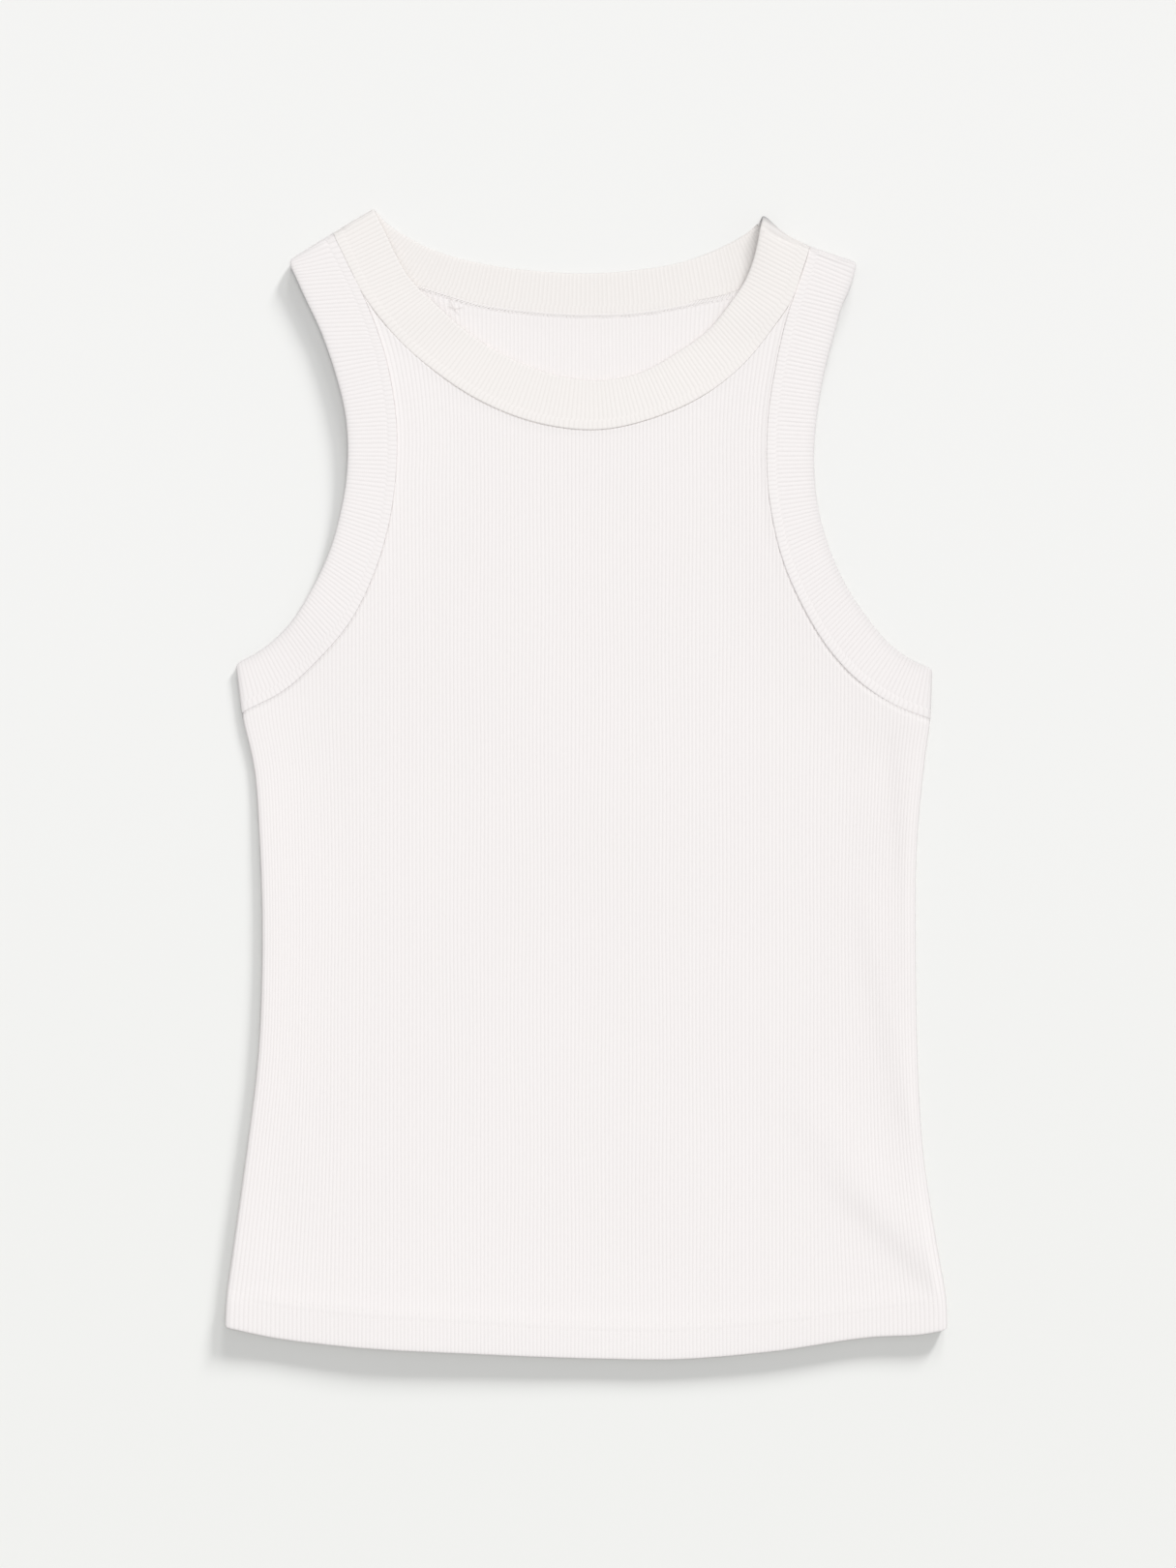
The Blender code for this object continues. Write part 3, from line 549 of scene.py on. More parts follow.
def wall_mesh(name, outer, inner, ribs, courses, from_edge, cloth=None, ring=False):
    """A closed wall of cloth between two faces of points [station, row, xyz].

    Each cell that is cloth has a quad on both faces, and each edge with no cloth beyond it has one
    from face to face. The map holds rib and course numbers, and the attribute from_edge, how far in from
    the nearest fold or rolled side a point is, by which the knit paints shade at edges. All faces are
    turned if the volume, the sum of a.(b x c) / 6, is negative.
    """
    stations, rows = outer.shape[:2]
    points = np.concatenate([outer.reshape(-1, 3), inner.reshape(-1, 3)])
    place = np.arange(stations * rows).reshape(stations, rows)
    low, up = place[:-1, :-1], place[:-1, 1:]
    next_low, next_up = place[1:, :-1], place[1:, 1:]
    far = stations * rows
    cloth = np.ones(low.shape, bool) if cloth is None else cloth
    around = np.pad(cloth, 1)
    if ring:
        around[0], around[-1] = around[-2].copy(), around[1].copy()
    quads = [
        (low, next_low, next_up, up, cloth),
        (far + up, far + next_up, far + next_low, far + low, cloth),
    ]
    for start, end, beyond in (
        (low, next_low, around[1:-1, :-2]),
        (next_up, up, around[1:-1, 2:]),
        (next_low, next_up, around[2:, 1:-1]),
        (up, low, around[:-2, 1:-1]),
    ):
        quads.append((end, start, far + start, far + end, cloth & ~beyond))
    faces = np.concatenate([np.stack(corners, axis=-1)[kept] for *corners, kept in quads])
    numbers = np.stack([np.broadcast_to(each, (stations, rows)) for each in (ribs, courses)], axis=-1)
    flat_map = np.concatenate([numbers.reshape(-1, 2)] * 2)[faces]
    if ring:
        again = np.arange(len(points))
        again[place[-1]] = place[0]
        again[far + place[-1]] = far + place[0]
        faces = again[faces]
    a, b, c, d = (points[faces[:, corner]] for corner in range(4))
    volume = (a * np.cross(b, c)).sum() + (a * np.cross(c, d)).sum()
    if volume < 0.0:
        faces = faces[:, ::-1]
        flat_map = flat_map[:, ::-1]
    used, faces = np.unique(faces, return_inverse=True)
    piece = new_piece(name, points[used], faces.reshape(-1, 4).tolist(), flat_map)
    painted_shade = piece.data.attributes.new("from_edge", "FLOAT", "POINT")
    painted_shade.data.foreach_set("value", np.tile(from_edge.ravel(), 2)[used].astype(np.float32))
    return piece


class Shade:
    """A socket of a material. Operators on it add Math nodes, and node() adds any other kind."""

    def __init__(self, tree, socket=None):
        self.tree = tree
        self.socket = socket

    def node(self, kind, settings, values, output=0):
        """Adds a node, with its settings first and then the values or links of its sockets."""
        made = self.tree.nodes.new(kind)
        for name, value in settings.items():
            setattr(made, name, value)
        for name, value in values.items():
            if isinstance(value, Shade):
                self.tree.links.new(value.socket, made.inputs[name])
            else:
                made.inputs[name].default_value = value
        return Shade(self.tree, made.outputs[output])

    def math(self, operation, *values):
        return self.node("ShaderNodeMath", {"operation": operation}, dict(enumerate(values)))

    def __add__(self, other):
        return self.math("ADD", self, other)

    def __radd__(self, other):
        return self.math("ADD", other, self)

    def __sub__(self, other):
        return self.math("SUBTRACT", self, other)

    def __rsub__(self, other):
        return self.math("SUBTRACT", other, self)

    def __mul__(self, other):
        return self.math("MULTIPLY", self, other)

    def __rmul__(self, other):
        return self.math("MULTIPLY", other, self)

    def __pow__(self, other):
        return self.math("POWER", self, other)

    def drive(self, shader, name):
        """Links this to the shader's socket of a name."""
        self.tree.links.new(self.socket, shader.inputs[name])

    def mix(self, first, second):
        """The colour first where this is 0 and second where it is 1."""
        first, second = (c if isinstance(c, Shade) else (*c, 1.0) for c in (first, second))
        return self.node("ShaderNodeMix", {"data_type": "RGBA"}, {0: self, 6: first, 7: second}, 2)


def new_material(name, roughness, specular):
    """A material, its shader with a roughness and a specular level, and the start of its formulas."""
    material = bpy.data.materials.new(name)
    material.use_nodes = True
    shader = material.node_tree.nodes["Principled BSDF"]
    shader.inputs["Roughness"].default_value = roughness
    shader.inputs["Specular IOR Level"].default_value = specular
    return material, shader, Shade(material.node_tree)


def map_numbers(start):
    """u and v of the piece's own map."""
    flat = start.node("ShaderNodeUVMap", {"uv_map": "knit"}, {})
    return [start.node("ShaderNodeSeparateXYZ", {}, {0: flat}, axis) for axis in (0, 1)]


def knit_material(name, crest_colour, groove_shade_colour, painted_edge_shade):
    """Rib knit: each rib is a chain of V stitches, and its groove is a little greyer.

    With u in ribs and v in courses, d = |u - round(u)|. The groove is (2 d)^3, and a stitch's legs are
    0.5 + 0.5 cos(2 pi (v + 1.3 d)). The groove and the gaps between the legs are painted darker, a painted
    shade in the knit's recesses. Near folds and edges a painted shade greys the colour by
    painted_edge_shade exp(-e / 1.6 mm), with e the piece's from_edge attribute.
    """
    material, shader, start = new_material(name, 0.92, 0.2)
    u, v = map_numbers(start)
    from_crest = start.math("ABSOLUTE", u - start.math("ROUND", u))
    groove = (from_crest * 2.0) ** 3.0
    legs = start.math("COSINE", (v + from_crest * 1.3) * (2.0 * math.pi)) * 0.5 + 0.5
    where = start.node("ShaderNodeTexCoord", {}, {}, "Object")
    fuzz = start.node("ShaderNodeTexNoise", {}, {"Vector": where, "Scale": 1400.0, "Detail": 2.0})
    cloudy = start.node("ShaderNodeTexNoise", {}, {"Vector": where, "Scale": 9.0, "Detail": 3.0})
    # Painted shade: the rib's groove and the gaps between the stitch legs are painted darker where the
    # relief sinks; the fuzz and cloudy noise vary the yarn's own tone.
    recess_shade_and_tone = groove * 0.75 + (1.0 - legs) * 0.12 + (fuzz - 0.5) * 0.25 + (cloudy - 0.5) * 0.22
    # Painted shade: near folds and edges the colour is mixed towards dark grey by painted_edge_shade exp(-e
    # / 1.6 mm).
    from_edge = start.node("ShaderNodeAttribute", {"attribute_name": "from_edge"}, {}, 2)
    painted_shade = start.math("EXPONENT", from_edge * (-1.0 / 1.6)) * painted_edge_shade
    colour = painted_shade.mix(recess_shade_and_tone.mix(crest_colour, groove_shade_colour), (0.30, 0.30, 0.31))
    height = legs * (1.0 - groove) * 0.7 + fuzz * 0.3
    bump = start.node("ShaderNodeBump", {}, {"Strength": 0.35, "Distance": 0.00012, "Height": height})
    colour.drive(shader, "Base Color")
    bump.drive(shader, "Normal")
    return material


def panel_piece(name, both_faces, ribs, plan, cells):
    """A panel's cloth, in place of the solid of the name."""
    outer, inner = both_faces
    courses = plan[..., 1] / COURSE
    # Painted shade: from_outline makes the knit grey the panel near its rolled sides and the hem's fold.
    piece = wall_mesh(name + "_cloth", outer, inner, ribs[:, None], courses, from_outline(outer), cells)
    piece.data.materials.append(BODY_KNIT)
    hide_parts(name)
    return piece


# The last number is how strongly the knit paints shade at folds and edges.
BODY_KNIT = knit_material("body_knit", (0.892, 0.860, 0.853), (0.790, 0.758, 0.749), 0.07)
BACK_SEAM = seam_beside(neck_sections(BACK_NECK), PANEL_SEAM_OFFSET)
back_plan, back_ribs, back_cells = panel_plan(BACK_SEAM, BACK_HEM_INSET, 6, 14, 14)
back_outer_depth, back_inner_depth = panel_depths(
    back_plan, back_ribs, BACK_WALL, BACK_HEM_WALL, 0.0, BACK_HEM_INSET, BACK_SEAM
)
# Inside the neck the seam's turnings lie under the cloth and raise it to the band.
back_inner_depth += 0.65 * np.exp(-((distance_from(back_plan, BACK_SEAM) / 5.5) ** 2))
back_depths = (back_outer_depth, back_inner_depth)
back_faces = [lay_sides(back_plan, depth, back_lift(back_plan), True) for depth in back_depths]
back_panel = panel_piece("back_panel", back_faces, back_ribs, back_plan, back_cells)


# ---- The front panel ----
# The same rib knit, cut with a deep scooped neck, and lying on the back panel, on the bands' backs
# and on the back hem. Its lower right corner is creased where the side was pulled in.

FRONT_WALL = 1.05
FRONT_HEM_WALL = 2.2
BAND_WALL = 2.3
RIB_HEIGHT = 0.3
UNDER_ON_PANEL = BACK_WALL + SEAM_GAP
UNDER_ON_BAND = BAND_WALL + RIB_HEIGHT + SEAM_GAP
UNDER_ON_HEM = BACK_HEM_WALL + SEAM_GAP + 0.1

# The seam and the folded edge of the neckband's front: seam x, seam y, edge x, edge y.
FRONT_NECK = np.array([
    (-131.3, 285.5, -108.2, 296.5),
    (-126.1, 274.6, -103.0, 285.5),
    (-121.4, 265.2, -97.2, 275.1),
    (-102.2, 240.2, -81.9, 259.0),
    (-81.4, 222.0, -64.2, 243.4),
    (-55.4, 205.4, -42.4, 230.1),
    (-24.2, 194.0, -17.9, 220.7),
    (7.0, 191.0, 5.5, 217.4),
    (38.2, 198.1, 28.9, 221.8),
    (63.0, 209.6, 48.1, 232.4),
    (82.4, 224.6, 65.3, 244.8),
    (97.5, 242.3, 77.9, 260.4),
    (111.0, 262.6, 86.6, 274.6),
    (114.7, 273.5, 90.2, 285.5),
    (117.3, 281.3, 92.0, 294.3),
])


def neck_rise(y):
    """0 where the front lies on the back panel and 1 where it lies on the back neckband."""
    return smooth_step((y - 234.0) / 23.0)


def front_under(points, arm_distance):
    """Height of the front's underside: over the back panel, and raised over a band or the hem."""
    x, y = points[..., 0], points[..., 1]
    on_band = np.maximum(np.exp(-((arm_distance / 20.0) ** 2)), neck_rise(y))
    on_hem = np.exp(-((np.maximum(y - hem_stitches(x), 0.0) / 26.0) ** 2))
    lift = np.maximum((UNDER_ON_BAND - UNDER_ON_PANEL) * on_band, (UNDER_ON_HEM - UNDER_ON_PANEL) * on_hem)
    return UNDER_ON_PANEL + lift


def front_points(plan, depth):
    """Points of the front at a depth below its walls' top, drawn up to the bands along their seams."""
    x, y = plan[..., 0], plan[..., 1]
    seams = [distance_from(plan, seam) for seam in (ARM_SEAMS[-1], ARM_SEAMS[1], FRONT_SEAM)]
    hem_part = 1.0 - smooth_step((y - hem_stitches(x) + 2.0) / 9.0)
    level = front_under(plan, np.minimum(seams[0], seams[1])) + FRONT_WALL
    level = level + (FRONT_HEM_WALL - FRONT_WALL) * hem_part
    left_lift = 1.0 - 0.25 * smooth_step((y - 60.0) / 70.0)
    right_lift = 0.6 + 0.2 * smooth_step((y - 90.0) / 60.0)
    neck_lift = 0.45 + 0.4 * smooth_step((x - 45.0) / 40.0)
    for distance, lift in zip(seams, (left_lift, right_lift, neck_lift)):
        level = level + lift * np.exp(-((distance / 2.2) ** 2))
    placed = lay_sides(plan, depth, level, False)
    placed[..., 2] += crease_heights(x, y, BODY_CREASES) * smooth_step((from_sides(placed) - 1.5) / 4.5)
    return placed


FRONT_SEAM = seam_beside(neck_sections(FRONT_NECK), PANEL_SEAM_OFFSET)
front_plan, front_ribs, front_cells = panel_plan(FRONT_SEAM, 0.0, 22, 18, 14)
front_outer_depth, front_inner_depth = panel_depths(
    front_plan, front_ribs, FRONT_WALL, FRONT_HEM_WALL, RIB_HEIGHT, 0.0, FRONT_SEAM
)
front_faces = [front_points(front_plan, depth) for depth in (front_outer_depth, front_inner_depth)]
front_panel = panel_piece("front_panel", front_faces, front_ribs, front_plan, front_cells)


# ---- The neckband ----
# One strip of the same yarn in a firmer rib, folded lengthwise in two and sewn round the neck as a
# closed ring, with its ribs across it. It turns over at both shoulders.

BAND_RIB_PITCH = 2.3
NECK_RELIEF = 0.19
NECK_FOLDS = ((-1, "neck"), (1, "neck"))
SAMPLES_A_RIB = 6

# Creases and puckers at the shoulders, given as the body's are.
BAND_CREASES = np.array([
    (97.5, 295.4, 117.0, 288.4, 0.9, 0.9, -0.9),
    (101.0, 299.0, 117.8, 291.0, 0.8, 0.8, -0.9),
    (99.0, 297.2, 117.0, 289.8, 1.1, 1.1, 0.4),
    (118.8, 291.5, 119.9, 287.2, 1.0, 1.0, -1.0),
    (124.0, 287.4, 137.0, 281.6, 0.7, 0.7, -0.8),
    (122.0, 284.6, 133.0, 280.0, 0.7, 0.7, -0.4),
    (-138.0, 296.4, -136.8, 295.6, 0.7, 0.7, -1.0),
    (-135.9, 298.0, -135.0, 297.4, 0.7, 0.7, -1.1),
    (-134.2, 299.3, -133.4, 298.8, 0.7, 0.7, -0.9),
    (-132.6, 300.0, -131.2, 298.6, 0.7, 0.7, -0.9),
    (-140.8, 292.2, -140.0, 291.6, 0.7, 0.7, -0.9),
    (-139.2, 293.3, -138.4, 292.7, 0.7, 0.7, -0.9),
])


def from_folds(points, folds):
    """How far points are inside the nearest of the shoulder folds given."""
    within = []
    for side, band in folds:
        seam, _, outward = fold_line(side, band)
        within.append((seam - points[..., :2]) @ outward)
    return np.minimum.reduce(within)


def lay_shoulders(points, depth, level, lower, folds):
    """Places a band's points between the shoulder folds that it crosses."""
    distances = []
    for side, band in folds:
        seam, _, outward = fold_line(side, band)
        radius = SHOULDERS[side][band][2]
        inward = (seam - points) @ outward
        distances.append((inward, outward, radius))
        if not lower:
            level = eased(level, 2.0 * radius, radius, inward, 34.0)
    flat_z = level + depth if lower else level - depth
    for inward, outward, radius in distances:
        points, flat_z = roll(points, inward, outward, radius, radius, depth, flat_z, lower)
    return at_height(points, flat_z)


def rib_count(table):
    """How many ribs a band has along its middle line."""
    return round(band_length(table) / BAND_RIB_PITCH)


def band_plan(table):
    """A band's rib numbers, its plan points from seam to fold, and their ways in from each."""
    ribs = np.arange(SAMPLES_A_RIB * rib_count(table) + 1) / SAMPLES_A_RIB
    sections = sections_at(table, ribs / ribs[-1])
    across = sections[:, 1] - sections[:, 0]
    width = np.hypot(*across.T)[:, None]
    across = across / width
    near_seam = np.array([0.0, 0.25, 0.6, 1.2, 2.6, 4.0, 4.6, 5.0, 5.4, 6.0, 7.5])
    near_edge = np.array([3.0, 1.7, 0.95, 0.4, 0.06])
    middle = 7.5 + (width - 10.5) * np.array([0.28, 0.52, 0.76])
    way = np.concatenate([near_seam + 0.0 * width, middle, width - near_edge], axis=1)
    way = np.maximum(way, 0.03 + 0.0 * way)
    return ribs, sections[:, :1] + across[:, None] * way[..., None], way, width - way


def over_turnings(way):
    """1 where the seam's turnings lie under the band's cloth, up to 5 mm in from the seam, and else 0."""
    return 1.0 - smooth_step((way - 4.3) / 1.1)


def shifted_ribs(ribs, way, shift):
    """Ribs that break by shift of a pitch at the end of the seam's turnings."""
    uneven = 0.10 * np.sin(0.9 * ribs) * np.sin(0.23 * ribs + 1.0)
    return (ribs + uneven)[:, None] + shift * over_turnings(way)


def band_depths(ribs, way, from_edge, proud_out, proud_in, relief, strip, dimple, drawn_in):
    """Depths of a band's faces, whose ribs [station, row] run across it.

    The strip over the seam's turnings stands proud on the side that shows, with flatter ribs and
    a line of dimples at its end. The seam edge is drawn in, and the folded edge is a half circle.
    """
    in_strip = over_turnings(way)
    relief = relief * (1.0 - 0.45 * in_strip) * (0.25 + 0.75 * smooth_step(way / 1.4))
    relief = relief * (0.35 + 0.65 * smooth_step(from_edge / 1.8))
    proud_out, proud_in = proud_out[:, None], proud_in[:, None]
    outer = -proud_out + relief * (1.0 - rib_crest(ribs)) - strip * in_strip * proud_out / RIB_HEIGHT
    inner = BAND_WALL + proud_in - relief * (1.0 - rib_crest(ribs + 0.5))
    pits = 0.5 + 0.5 * np.cos(2.0 * math.pi * ribs)
    outer = outer + np.exp(-(((way - 4.9) / 0.6) ** 2)) * dimple * (0.25 + pits)
    outer, inner = between(outer, inner, drawn_in[:, None] * rounded(way, 1.0))
    return between(outer, inner, 0.94 * rounded(from_edge, 1.4))


def neck_front_points(plan, depth):
    """Points of the band's front at a depth below its top, gaping at the free edge by the right fold."""
    x, y = plan[..., 0], plan[..., 1]
    level = UNDER_ON_PANEL + (UNDER_ON_BAND - UNDER_ON_PANEL) * neck_rise(y) + BAND_WALL
    gape = 4.2 * np.exp(-((distance_from(plan, FRONT_FREE_EDGE) / 10.0) ** 2))
    gape = gape * np.exp(-((np.maximum(from_folds(plan, NECK_FOLDS[1:]), 0.0) / 19.0) ** 2))
    lifted = depth - gape - crease_heights(x, y, BAND_CREASES)
    return lay_shoulders(plan, lifted, level, False, NECK_FOLDS)


FRONT_FREE_EDGE = sections_at(neck_sections(FRONT_NECK), np.linspace(0.0, 1.0, 121))[:, 1]
# The band's knit paints a stronger shade at its folds and edges.
BAND_KNIT = knit_material("band_knit", (0.888, 0.856, 0.834), (0.797, 0.765, 0.741), 0.22)


def neckband_half(rows, lower, first_rib):
    """Outer and inner points, ribs and courses of the band's front or back half, and how near a fold is.

    The back half is thinner inside the neck, and painted darker under the front's raised edge, a painted
    shadow; the last array sets the painted shade at folds and edges.
    """
    ribs, plan, way, from_edge = band_plan(neck_sections(rows))
    part = ribs / ribs[-1]
    fade = smooth_step(part / 0.03) * smooth_step((1.0 - part) / 0.03)
    shown = smooth_step((part - 0.05) / 0.03) * smooth_step((0.95 - part) / 0.03)
    proud_out = RIB_HEIGHT * fade * (0.0 if lower else 1.0)
    proud_in = RIB_HEIGHT * shown * (1.0 if lower else 0.0)
    drawn_in = 0.04 + 0.38 * smooth_step((part - 0.02) / 0.05) - 0.2 * smooth_step((part - 0.68) / 0.1)
    drawn_in = drawn_in * (0.3 if lower else 1.0)
    ribs = shifted_ribs(ribs, way, 0.3)
    depths = band_depths(ribs, way, from_edge, proud_out, proud_in, NECK_RELIEF, 0.12, 0.04, drawn_in)
    if lower:
        thinner = 0.65 * smooth_step((part - 0.06) / 0.1) + 0.85 * smooth_step((part - 0.74) / 0.12)
        thinner = (thinner * smooth_step((1.0 - part) / 0.03))[:, None]
        depths = (depths[0], depths[1] - thinner)
        outer, inner = (lay_shoulders(plan, depth, 0.0, True, NECK_FOLDS) for depth in depths)
    else:
        outer, inner = (neck_front_points(plan, depth) for depth in depths)
    # Painted shade: the band is greyed near its folded edge and both shoulder folds, reaching further at
    # the right fold.
    right_fold = 0.6 * from_folds(outer, NECK_FOLDS[1:])
    near_edge = from_edge + (1.4 if lower else 2.0)
    painted_shade = np.minimum(np.minimum(near_edge, right_fold), from_folds(outer, NECK_FOLDS[:1]))
    # Painted shade on the back half: a little all over inside the neck, and a painted shadow along the
    # front's raised free edge.
    if lower:
        painted_gap_shadow = 0.5 * distance_from(outer[..., :2], FRONT_FREE_EDGE)
        painted_gap_shadow = painted_gap_shadow + 0.15 * np.maximum(right_fold - 10.0, 0.0)
        painted_shade = np.minimum(np.minimum(painted_shade, 3.0), painted_gap_shadow)
    return outer, inner, ribs + first_rib, way / COURSE, painted_shade


# Both halves' ribs are counted from the left shoulder, and they meet in one number at the right one.
more_ribs = rib_count(neck_sections(FRONT_NECK)) - rib_count(neck_sections(BACK_NECK))
neck_halves = zip(neckband_half(FRONT_NECK, False, 0), neckband_half(BACK_NECK, True, more_ribs))
neck_arrays = [np.concatenate([front, back[::-1][1:]]) for front, back in neck_halves]
neckband = wall_mesh("neckband_cloth", *neck_arrays, ring=True)
neckband.data.materials.append(BAND_KNIT)
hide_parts("neckband")
neck_length = band_length(neck_sections(FRONT_NECK)) + band_length(neck_sections(BACK_NECK))


# ---- The arm bands ----
# Two strips like the neckband, one round each armhole: from the side seam up the front, over the
# shoulder fold and down the back to the side seam.

# The arm bands' knit paints the same shade at folds and edges as the neckband's.
ARM_KNIT = knit_material("arm_band_knit", (0.891, 0.859, 0.853), (0.790, 0.758, 0.750), 0.22)


def arm_band(name, side):
    """A band in two halves laid on each other: between the rolled sides below and at the shoulder above."""
    table = arm_sections(side)
    ribs, plan, way, from_edge = band_plan(table)
    part = ribs / ribs[-1]
    fade = smooth_step((1.0 - part) / 0.03)
    drawn_in, relief = 0.42 + 0.0 * part, 0.29
    if side < 0:
        drawn_in, relief = 0.1 - 0.06 * smooth_step((part - 0.91) / 0.06), 0.22
    ribs = shifted_ribs(ribs, way, 0.5)
    faces = {"outer": [], "inner": []}
    for lower in (False, True):
        level = 0.0 if lower else UNDER_ON_BAND + BAND_WALL
        proud = RIB_HEIGHT * fade * (0.0 if lower else 1.0)
        depths = band_depths(ribs, way, from_edge, proud, 0.0 * proud, relief, 0.1, 0.14, drawn_in)
        creases = 0.0 if lower else crease_heights(plan[..., 0], plan[..., 1], BAND_CREASES)
        for face, depth in zip(faces, depths):
            low = lay_sides(plan, depth, level, lower)
            high = lay_shoulders(plan, depth - creases, level, lower, ((side, "arm"),))
            placed = np.where((part < 0.5)[:, None, None], low, high)
            faces[face].append(placed[::-1][1:] if lower else placed)
    outer, inner = (np.concatenate(halves) for halves in faces.values())
    there_and_back = np.concatenate([np.arange(len(ribs)), np.arange(len(ribs))[::-1][1:]])
    # Painted shade: the band is greyed near its folded edge and its shoulder fold, reaching further on the
    # right, and near the rolled sides below.
    nearness = 1.0 if side < 0 else 0.6
    painted_shade = np.minimum(from_edge[there_and_back], nearness * from_folds(outer, ((side, "arm"),)))
    painted_shade = np.where(outer[..., 1] < 120.0, np.minimum(painted_shade, from_sides(outer)), painted_shade)
    every_rib, courses = ribs[there_and_back], way[there_and_back] / COURSE
    piece = wall_mesh(name + "_cloth", outer, inner, every_rib, courses, painted_shade)
    piece.data.materials.append(ARM_KNIT)
    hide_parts(name)
    2 * band_length(table) * MM


arm_band("arm_band_left", -1)
arm_band("arm_band_right", 1)


# ---- The hem stitches ----
# Two rows of white cotton thread 3.8 mm apart, sewn through the turned-up hem of each panel. The
# stitches are 2.6 mm long and sink into the ribs.

STITCH_LENGTH = 2.6
STITCH_SPACE = 0.75
STITCH_RADIUS = 0.15
ARCH = 0.16 * np.array([1.0, 0.15, 0.0, 0.15, 1.0])


def stitch_line(line, first):
    """Plan points [stitch, point, xy] of straight stitches along a line, from first on."""
    way = travelled(line)
    last = way[-1] - STITCH_LENGTH - STITCH_SPACE
    starts = np.arange(first + STITCH_SPACE, last, STITCH_LENGTH + STITCH_SPACE)
    uneven = 0.12 * STITCH_LENGTH * np.sin(starts * 7.3) * np.sin(starts * 0.37)
    wanted = (starts + uneven)[:, None] + np.linspace(0.0, STITCH_LENGTH, len(ARCH))
    return points_along(line, way, wanted)


def threads(name, lines, radius, flatness=1.0):
    """Closed tubes of six sides along lines [thread, point, xyz], thin at both ends.

    Each ring is c + r t (cos a side + f sin a up), with t = 0.35 + 0.65 sin(pi s)^0.6 along it.
    """
    along = np.gradient(lines, axis=1)
    along /= np.linalg.norm(along, axis=2, keepdims=True)
    side = np.cross(along, np.array([0.0, 0.0, 1.0]))
    side /= np.linalg.norm(side, axis=2, keepdims=True)
    up = np.cross(side, along)
    angle = np.arange(6) * math.pi / 3.0
    count, length = lines.shape[:2]
    part = np.linspace(0.0, 1.0, length)
    thick = radius * (0.35 + 0.65 * np.sin(math.pi * part) ** 0.6)[None, :, None, None]
    ring = side[:, :, None] * np.cos(angle)[:, None] + flatness * up[:, :, None] * np.sin(angle)[:, None]
    points = (lines[:, :, None] + thick * ring).reshape(-1, 3)
    place = np.arange(len(points)).reshape(count, length, 6)
    after = np.roll(place, -1, axis=2)
    quads = np.stack([place[:, :-1], place[:, 1:], after[:, 1:], after[:, :-1]], axis=-1).reshape(-1, 4)
    ends = np.concatenate([place[:, 0], place[:, -1, ::-1]])
    turned = [np.broadcast_to(each, (length, 6)) for each in (part[:, None] * 6.0, angle / 6.3)]
    flat_map = np.tile(np.stack(turned, axis=-1).reshape(-1, 2), (count, 1))
    corners = np.concatenate([quads.ravel(), ends.ravel()])
    piece = new_piece(name, points, quads.tolist() + ends.tolist(), flat_map[corners])
    piece.data.materials.append(THREAD)


def thread_material(name, light, shaded_ply_colour):
    """Spun thread: its plies are 0.5 + 0.5 sin(2 pi (u + v)) round and along it."""
    material, shader, start = new_material(name, 0.75, 0.3)
    u, v = map_numbers(start)
    plies = start.math("SINE", (u + v) * (2.0 * math.pi)) * 0.5 + 0.5
    bump = start.node("ShaderNodeBump", {}, {"Strength": 0.4, "Distance": 0.00008, "Height": plies})
    # Painted shade: the grooves between plies, where plies is low, take the darker shaded_ply_colour.
    plies.mix(shaded_ply_colour, light).drive(shader, "Base Color")
    bump.drive(shader, "Normal")
    return material


THREAD = thread_material("cotton_thread", (0.905, 0.873, 0.862), (0.845, 0.813, 0.80))


# Both rows run from side seam to side seam, and the lower one starts further in.
hem_x = np.linspace(*(float(sheet_side(np.array(-285.0), side)) - side for side in (-1, 1)), 400)
hem_plan = np.concatenate([
    stitch_line(np.stack([hem_x, hem_stitches(hem_x) - below], axis=1), first)
    for below, first in ((0.0, 0.0), (STITCH_ROWS_APART, 1.6))
])
hem_arch = ARCH + 0.0 * hem_plan[..., 0]
threads("front_hem_stitches", front_points(hem_plan, hem_arch - 0.13), STITCH_RADIUS)
threads("back_hem_stitches", lay_sides(hem_plan, hem_arch + 0.18, 0.0, True), STITCH_RADIUS)


# ---- The back neck's coverstitch ----
# A looper thread lies over the seam between the back panel and the neckband like a flat twisted
# rope, 3 mm wide, held down by a row of short stitches along each of its edges.

rope_line = seam_beside(neck_sections(BACK_NECK), 0.0)
rope_line = rope_line[(rope_line[:, 0] > -100.0) & (rope_line[:, 0] < 96.0)]
rope_way = travelled(rope_line)
rope_along = np.gradient(rope_line, axis=0)
rope_along /= np.hypot(*rope_along.T)[:, None]
rope_up = np.stack([-rope_along[:, 1], rope_along[:, 0]], axis=1)


def over_seam(way, across, height):
    """The point at a way along the seam, across it towards the band, and above the step there."""
    at, up = (points_along(line, rope_way, way) for line in (rope_line, rope_up))
    over_band = smooth_step(across / 2.4 + 0.5)
    step = 1.72 + 0.12 * over_band - 0.8 * over_band * smooth_step((at[..., 0] - 57.0) / 28.0)
    return at_height(at + up * across[..., None], step + height)


